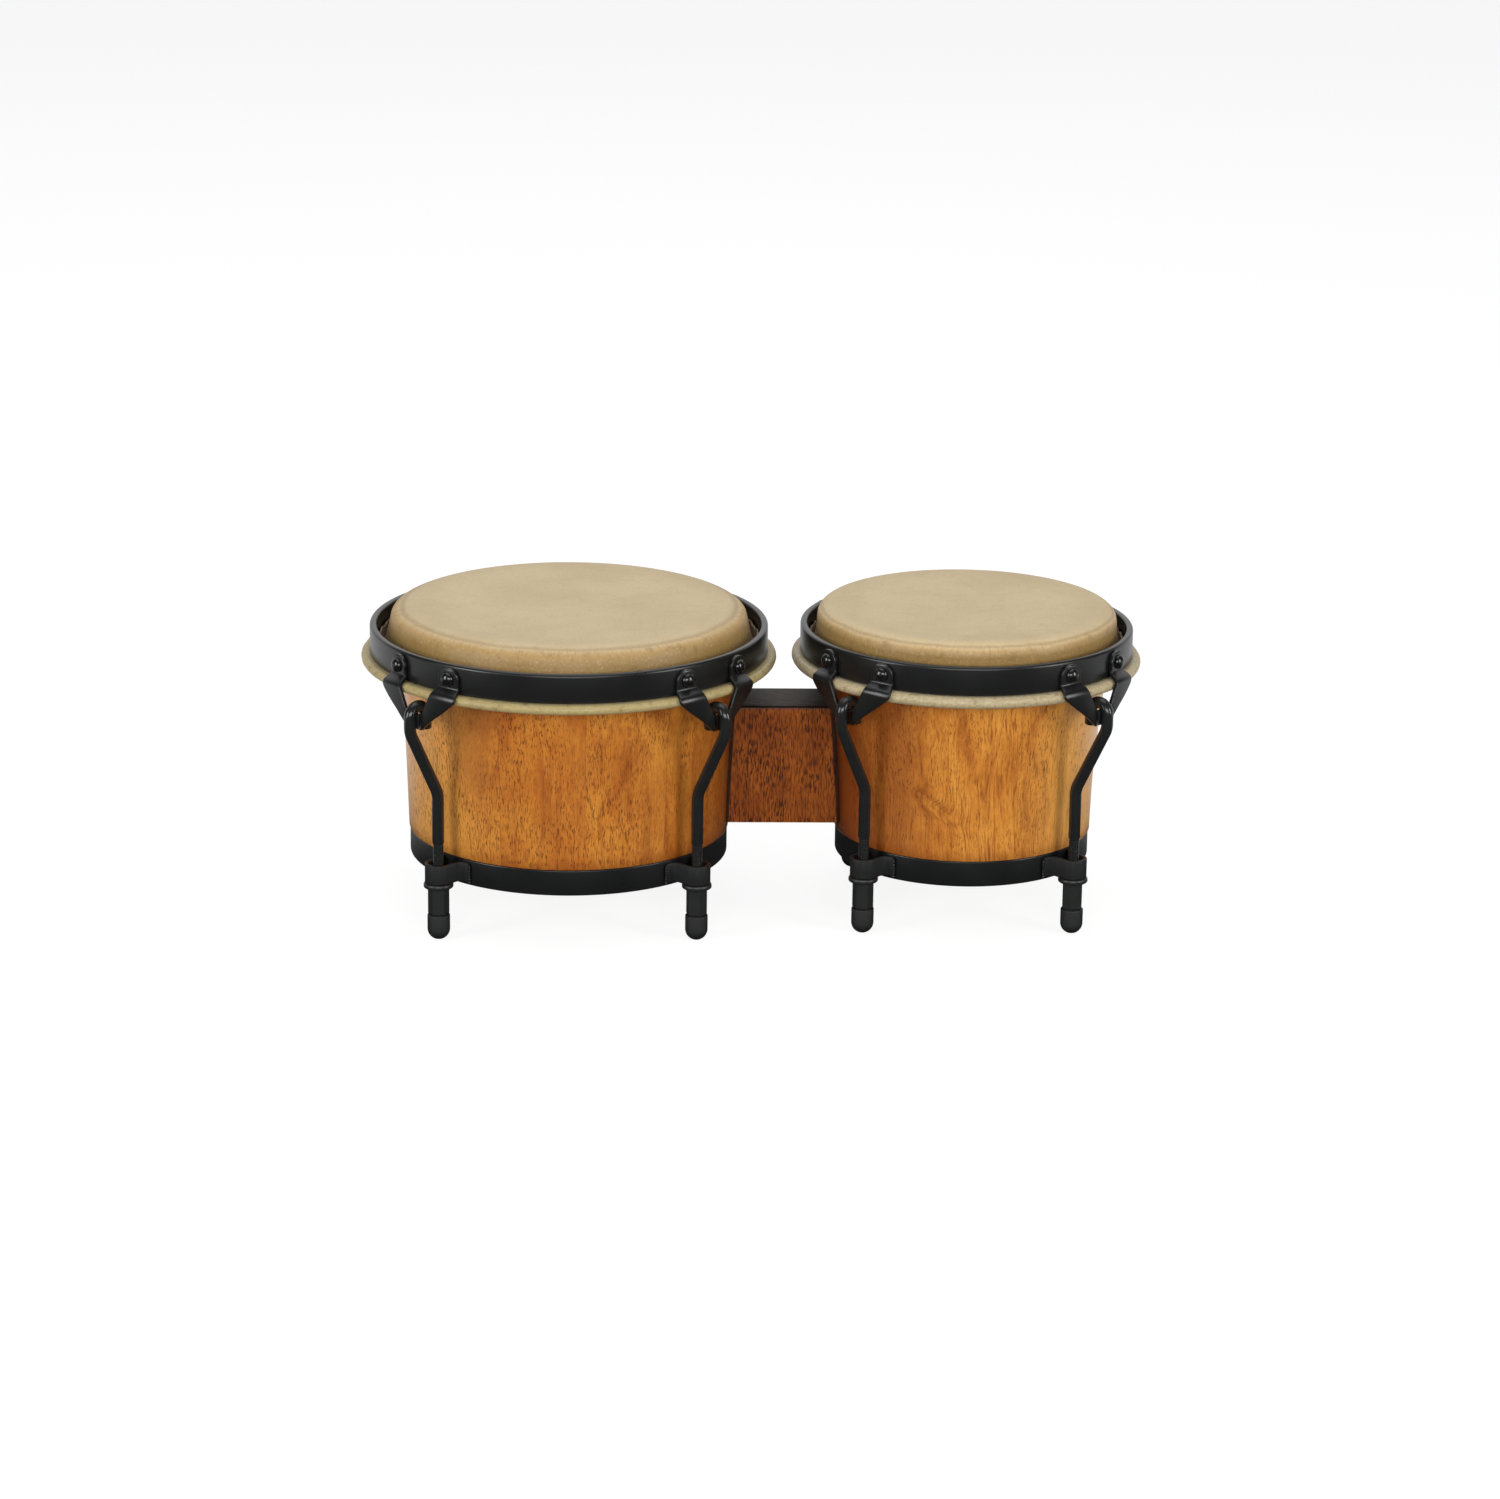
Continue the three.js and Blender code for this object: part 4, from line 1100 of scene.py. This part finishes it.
# ------------------------------------------------------------------ foot rings
def loop_mesh(drum):
    """A strap: flange on the ring, arm out, half turn round the rod, arm back, flange."""
    ring_r = drum.ring_r
    start = ring_r + 0.75
    side = rounded([(start - 0.75, -13.2), (start - 0.1, -9.6), (start + 1.9, -LOOP_R),
                    (drum.rod_r, -LOOP_R)], [0, 2.4, 2.0, 0])
    path = side[:]
    for k in range(1, 20):
        angle = math.radians(-90 + 180 * k / 20)
        path.append((drum.rod_r + LOOP_R * math.cos(angle), LOOP_R * math.sin(angle)))
    path += [(x, -y) for x, y in side[::-1]]
    low, high = LOOP_Z
    section = rounded_box(LOOP_T, high - low, 0.5, 3)
    rings = []
    for (x, y), (tx, ty) in zip(path, tangents(np.array(path))):
        rings.append([(x + ty * u, y - tx * u, (low + high) / 2 + v) for u, v in section])
    return loft(rings)


def weld_mesh(drum, side, degrees):
    """An uneven upright weld bead at one of a loop's flanges."""
    low, high = LOOP_Z
    rings = []
    for k in range(22):
        z = low - 0.6 + (high - low - 0.6) * k / 21
        r = 0.62 + 0.16 * math.sin(k * 1.9) + 0.1 * uneven(k * 0.7, side, degrees)
        if k in (0, 21):
            r *= 0.45
        rings.append([(drum.ring_r + 0.15 + r * math.cos(a),
                       side * 13.5 + 1.25 * r * math.sin(a), z)
                      for a in np.linspace(0, 2 * math.pi, 12, endpoint=False)])
    return loft(rings)


def build_foot_ring(drum):
    build_band(drum, "steel_foot_ring", "bottom_ring", "root", drum.ring_r, RING_T, RING_Z,
               radii=[0.4, 0.7, 0.7, 0.4], steps=5, seg=240)
    verts, faces = loop_mesh(drum)
    for lug, degrees in LUGS.items():
        make(f"foot_loop_{drum.size}_{lug}", turned(verts, degrees, drum.centre), faces,
             "root", LOOPS, smooth=35)
        for tag, side in (("a", -1), ("b", 1)):
            bead, bead_faces = weld_mesh(drum, side, degrees)
            make(f"weld_{drum.size}_{lug}_{tag}", turned(bead, degrees, drum.centre),
                 bead_faces, "root", BLACK, smooth=60)


# ------------------------------------------------------------------ centre block
def build_block():
    """The block between the drums, its ends hollowed to fit the shells."""
    low, high = span("centre_block")
    half_y, z0, z1 = high[1], low[2], high[2]
    large, small = DRUMS["large"], DRUMS["small"]
    corners = rounded([(-half_y, z0), (half_y, z0), (half_y, z1), (-half_y, z1)],
                      [0.7, 0.7, 1.7, 1.7])
    n = len(corners)
    outline = []
    for i in range(n):
        a, b = np.array(corners[i]), np.array(corners[(i + 1) % n])
        steps = max(1, int(np.linalg.norm(b - a) / 3.0))
        outline += [a + (b - a) * k / steps for k in range(steps)]
    n = len(outline)

    def ends(point):
        """Where a line along X through (y, z) meets the two shells."""
        y, z = point
        return (large.centre_x + math.sqrt((smooth_r(large, z) + 0.25) ** 2 - y * y),
                small.centre_x - math.sqrt((smooth_r(small, z) + 0.25) ** 2 - y * y))

    verts, faces = [], []

    def add_ring(points):
        first = len(verts)
        verts.extend(points)
        return list(range(first, first + n))

    def join(a, b):
        for k in range(n):
            k2 = (k + 1) % n
            faces.append((a[k], a[k2], b[k2], b[k]))

    rings = []
    for t in np.linspace(0, 1, 14):
        points = []
        for p in outline:
            left, right = ends(p)
            points.append((left + (right - left) * t, p[0], p[1]))
        rings.append(add_ring(points))
    for a, b in zip(rings, rings[1:]):
        join(a, b)
    centre = np.array([0, (z0 + z1) / 2])
    for which, ring in ((0, rings[0]), (1, rings[-1])):
        for scale in (0.85, 0.7, 0.55, 0.4, 0.25, 0.1):
            shrunk = [centre + (p - centre) * scale for p in outline]
            smaller = add_ring([(ends(q)[which], q[0], q[1]) for q in shrunk])
            join(ring, smaller)
            ring = smaller
        middle = len(verts)
        verts.append((ends(centre)[which], centre[0], centre[1]))
        for k in range(n):
            faces.append((ring[k], ring[(k + 1) % n], middle))
    make("wood_centre_block", verts, faces, "root", BLOCK, "centre_block", smooth=25)


# ------------------------------------------------------------------ block fasteners
def build_fasteners(drum):
    """Washers and button-head bolts, from inside each shell into the block."""
    for tag, z in BOLT_Z.items():
        seat = bolt_seat(drum, z)
        end = station_r(drum, z) + 0.3 + 13
        profile = rounded([(4.3, seat - 2.1), (9, seat - 2.1), (9, seat - 0.3),
                           (4.3, seat - 0.3)], [0.15, 0.35, 0.2, 0.1], 3)
        verts, faces, _ = lathe(profile, 56, closed=True)
        make(f"washer_{drum.size}_{tag}", along_x(verts, drum.side, z, drum.centre_x), faces,
             "root", ZINC, f"block_washer_{drum.size}_{tag}")
        # hexagon socket, round head, shank
        rows = [
            (seat - 5.2, "h", 2.3), (seat - 5.15, "h", 2.75), (seat - 7.1, "h", 2.95),
            (seat - 7.35, "c", 3.6), (seat - 7.2, "c", 4.8), (seat - 6.6, "c", 5.8),
            (seat - 5.6, "c", 6.4), (seat - 4.2, "c", 6.6), (seat - 2.5, "c", 6.6),
            (seat - 2.4, "c", 3.9), (end - 0.8, "c", 3.9), (end, "c", 3.1)]
        verts, faces = loft(turned_rings(rows, 48, lambda a, size: size / flat_cos(a)))
        make(f"button_bolt_{drum.size}_{tag}", along_x(verts, drum.side, z, drum.centre_x),
             faces, "root", ZINC, f"block_bolt_{drum.size}_{tag}", smooth=30)


# ------------------------------------------------------------------ tuning hardware
def build_lugs(drum):
    """Bracket, rod, nut and rubber tip at each lug."""
    size = drum.size
    body = f"tension_{size}"
    bracket, bracket_faces = bracket_mesh(drum.rim_r)
    rod, rod_faces = rod_mesh(drum)
    nut, nut_faces = nut_mesh()
    tip, tip_faces = tip_mesh()
    for lug, degrees in LUGS.items():
        tag = f"{size}_{lug}"
        make(f"bracket_{tag}", turned(bracket, degrees, drum.centre), bracket_faces, body,
             BLACK, f"ear_bracket_{tag}")
        make(f"rod_{tag}", turned(rod, degrees, drum.centre), rod_faces, body,
             RODS, f"tuning_rod_{tag}", smooth=50)
        angle = math.radians(degrees)
        at = (drum.centre_x + drum.rod_r * math.cos(angle), drum.rod_r * math.sin(angle))
        make(f"hex_nut_{tag}", turned(nut, NUT_TURN[size][lug], at), nut_faces,
             f"nut_{tag}", NUTS, f"tuning_nut_{tag}", smooth=28)
        make(f"tip_{tag}", turned(tip, degrees, at), tip_faces,
             f"nut_{tag}", RUBBER, f"rubber_tip_{tag}")


for drum in DRUMS.values():
    build_shell(drum)
    build_head(drum)
    build_hoop(drum)
    build_rim(drum)
    build_foot_ring(drum)
    build_fasteners(drum)
    build_lugs(drum)
build_block()

# The frame's own inserts are brass. A node may be listed as its object or only by name.
for name, entry in list(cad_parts.items()):
    ob = bpy.data.objects.get(name) if isinstance(entry, (str, dict)) else entry
    if "insert" in name and hasattr(ob, "material_slots"):
        for slot in ob.material_slots:
            slot.link = "OBJECT"
            slot.material = BRASS


# ------------------------------------------------------------------ floor
def floor_material():
    """The camera sees the floor evenly lit with a faint soft shadow; it throws less light
    back on the drums than it shows, as a studio table with flags does."""
    made, nodes = new_material("pale_floor")
    made.node_tree.nodes.clear()
    cloud = nodes.noise(nodes.coords(), scale=1.5)
    pale = nodes.mix(cloud, (0.21, 0.21, 0.21), (0.23, 0.23, 0.23))
    seen = nodes.node("ShaderNodeBsdfDiffuse", pale)
    glow = nodes.node("ShaderNodeEmission")
    nodes.fill(glow, {"Color": (1, 1, 1), "Strength": 0.875})
    both = nodes.node("ShaderNodeAddShader", seen.outputs[0], glow.outputs[0])
    bounce = nodes.node("ShaderNodeBsdfDiffuse", (0.36, 0.36, 0.36))
    # mirrored in lacquer and paint, only the part behind the drums is bright
    x, y, _ = nodes.xyz(nodes.coords())
    far = x.op("ABSOLUTE").mul_add(0.6, y).rise(lo=0.15, hi=0.55)
    mirrored = nodes.mix(far, (0.03, 0.03, 0.03), (0.78, 0.78, 0.78))
    mirror = nodes.node("ShaderNodeEmission", mirrored)
    path = nodes.node("ShaderNodeLightPath").outputs
    rest = nodes.node("ShaderNodeMixShader", path["Is Glossy Ray"],
                      bounce.outputs[0], mirror.outputs[0])
    pick = nodes.node("ShaderNodeMixShader", path["Is Camera Ray"],
                      rest.outputs[0], both.outputs[0])
    nodes.node("ShaderNodeOutputMaterial", pick.outputs[0])
    return made


def stage_floor():
    """A plain pale sweep, curving up at the back (metres)."""
    half_width = 9.0
    profile = [(-6.0, 0.0), (4.0, 0.0)]
    for k in range(1, 17):
        angle = math.radians(90 * k / 16)
        profile.append((4.0 + 2.0 * math.sin(angle), 2.0 - 2.0 * math.cos(angle)))
    profile.append((6.0, 7.0))
    verts = [(x, y, z) for y, z in profile for x in (-half_width, half_width)]
    faces = [(a - 2, a - 1, a + 1, a) for a in range(2, 2 * len(profile), 2)]
    material = floor_material()
    mesh = bpy.data.meshes.new("floor_sweep")
    mesh.from_pydata(verts, [], faces)
    mesh.polygons.foreach_set("use_smooth", [True] * len(mesh.polygons))
    mesh.materials.append(material)
    ob = bpy.data.objects.new("floor_sweep", mesh)
    bpy.context.scene.collection.objects.link(ob)


# ------------------------------------------------------------------ light
def area(name, location, target, size, power, colour=(1, 1, 1), size_y=None):
    """An area light aimed at target; square unless size_y is given. Metres and watts."""
    light = bpy.data.lights.new(name, "AREA")
    light.shape = "RECTANGLE" if size_y else "SQUARE"
    light.size = size
    if size_y:
        light.size_y = size_y
    light.energy = power
    light.color = colour
    ob = bpy.data.objects.new(name, light)
    ob.location = location
    ob.rotation_mode = "QUATERNION"
    aim = Vector(target) - Vector(location)
    ob.rotation_quaternion = aim.to_track_quat("-Z", "Y")
    bpy.context.scene.collection.objects.link(ob)


def build_lights():
    middle = (0, 0, 0.1)
    warm = (1, 0.995, 0.98)
    area("key_left", (-2.1, -1.3, 0.75), middle, size=0.8, size_y=1.2, power=26, colour=warm)
    area("key_right", (2.1, -1.3, 0.75), middle, size=0.8, size_y=1.2, power=25, colour=warm)
    area("front_soft", (0.0, -2.9, 0.95), middle, size=2.4, size_y=0.9, power=46,
         colour=(1, 0.995, 0.985))
    area("top_soft", (0, 0.2, 2.0), middle, size=1.8, power=15)
    area("back_soft", (0, 2.4, 1.8), (0, 0, 0.15), size=2.4, size_y=1.0, power=9)


def build_world():
    """White to the camera, a dim grey gradient as light, darker still in reflections."""
    world = bpy.data.worlds.new("studio")
    bpy.context.scene.world = world
    world.use_nodes = True
    nodes = Nodes(world.node_tree)
    dim = world.node_tree.nodes["Background"]
    z = nodes.xyz(nodes.node("ShaderNodeTexCoord").outputs["Generated"])[2]
    path = nodes.node("ShaderNodeLightPath").outputs
    grey = nodes.mix(z.rise(lo=-0.2, hi=0.9), (0.10, 0.10, 0.105), (0.26, 0.26, 0.265))
    grey = nodes.mix(path["Is Glossy Ray"], grey, (0.07, 0.07, 0.07))
    nodes.fill(dim, {"Color": grey, "Strength": 1.0})
    white = nodes.node("ShaderNodeBackground", (1, 1, 1))
    pick = nodes.node("ShaderNodeMixShader", path["Is Camera Ray"],
                      dim.outputs[0], white.outputs[0])
    nodes.fill(world.node_tree.nodes["World Output"], {"Surface": pick.outputs[0]})


# ------------------------------------------------------------------ camera
CAMERA_TARGET = Vector((-0.000135, 0, 0.09349))
CAMERA_DISTANCE = 2.85039
CAMERA_ANGLES = (-1.841, 16.932, 0.761)         # azimuth, elevation, roll in degrees


def build_camera():
    camera = bpy.data.cameras.new("camera")
    camera.sensor_fit = "HORIZONTAL"
    camera.sensor_width = 36.0
    camera.lens = 114.2748
    camera.clip_start, camera.clip_end = 0.05, 60
    ob = bpy.data.objects.new("camera", camera)
    bpy.context.scene.collection.objects.link(ob)
    azimuth, elevation, roll = (math.radians(angle) for angle in CAMERA_ANGLES)
    back = Vector((math.sin(azimuth) * math.cos(elevation),
                   -math.cos(azimuth) * math.cos(elevation), math.sin(elevation)))
    right = Vector((math.cos(azimuth), math.sin(azimuth), 0))
    up = back.cross(right)
    rolled_right = math.cos(roll) * right + math.sin(roll) * up
    rolled_up = -math.sin(roll) * right + math.cos(roll) * up
    matrix = Matrix((rolled_right, rolled_up, back)).transposed().to_4x4()
    matrix.translation = CAMERA_TARGET + back * CAMERA_DISTANCE
    ob.matrix_world = matrix
    bpy.context.scene.camera = ob


stage_floor()
build_lights()
build_world()
bpy.context.scene.view_settings.view_transform = "Standard"
build_camera()
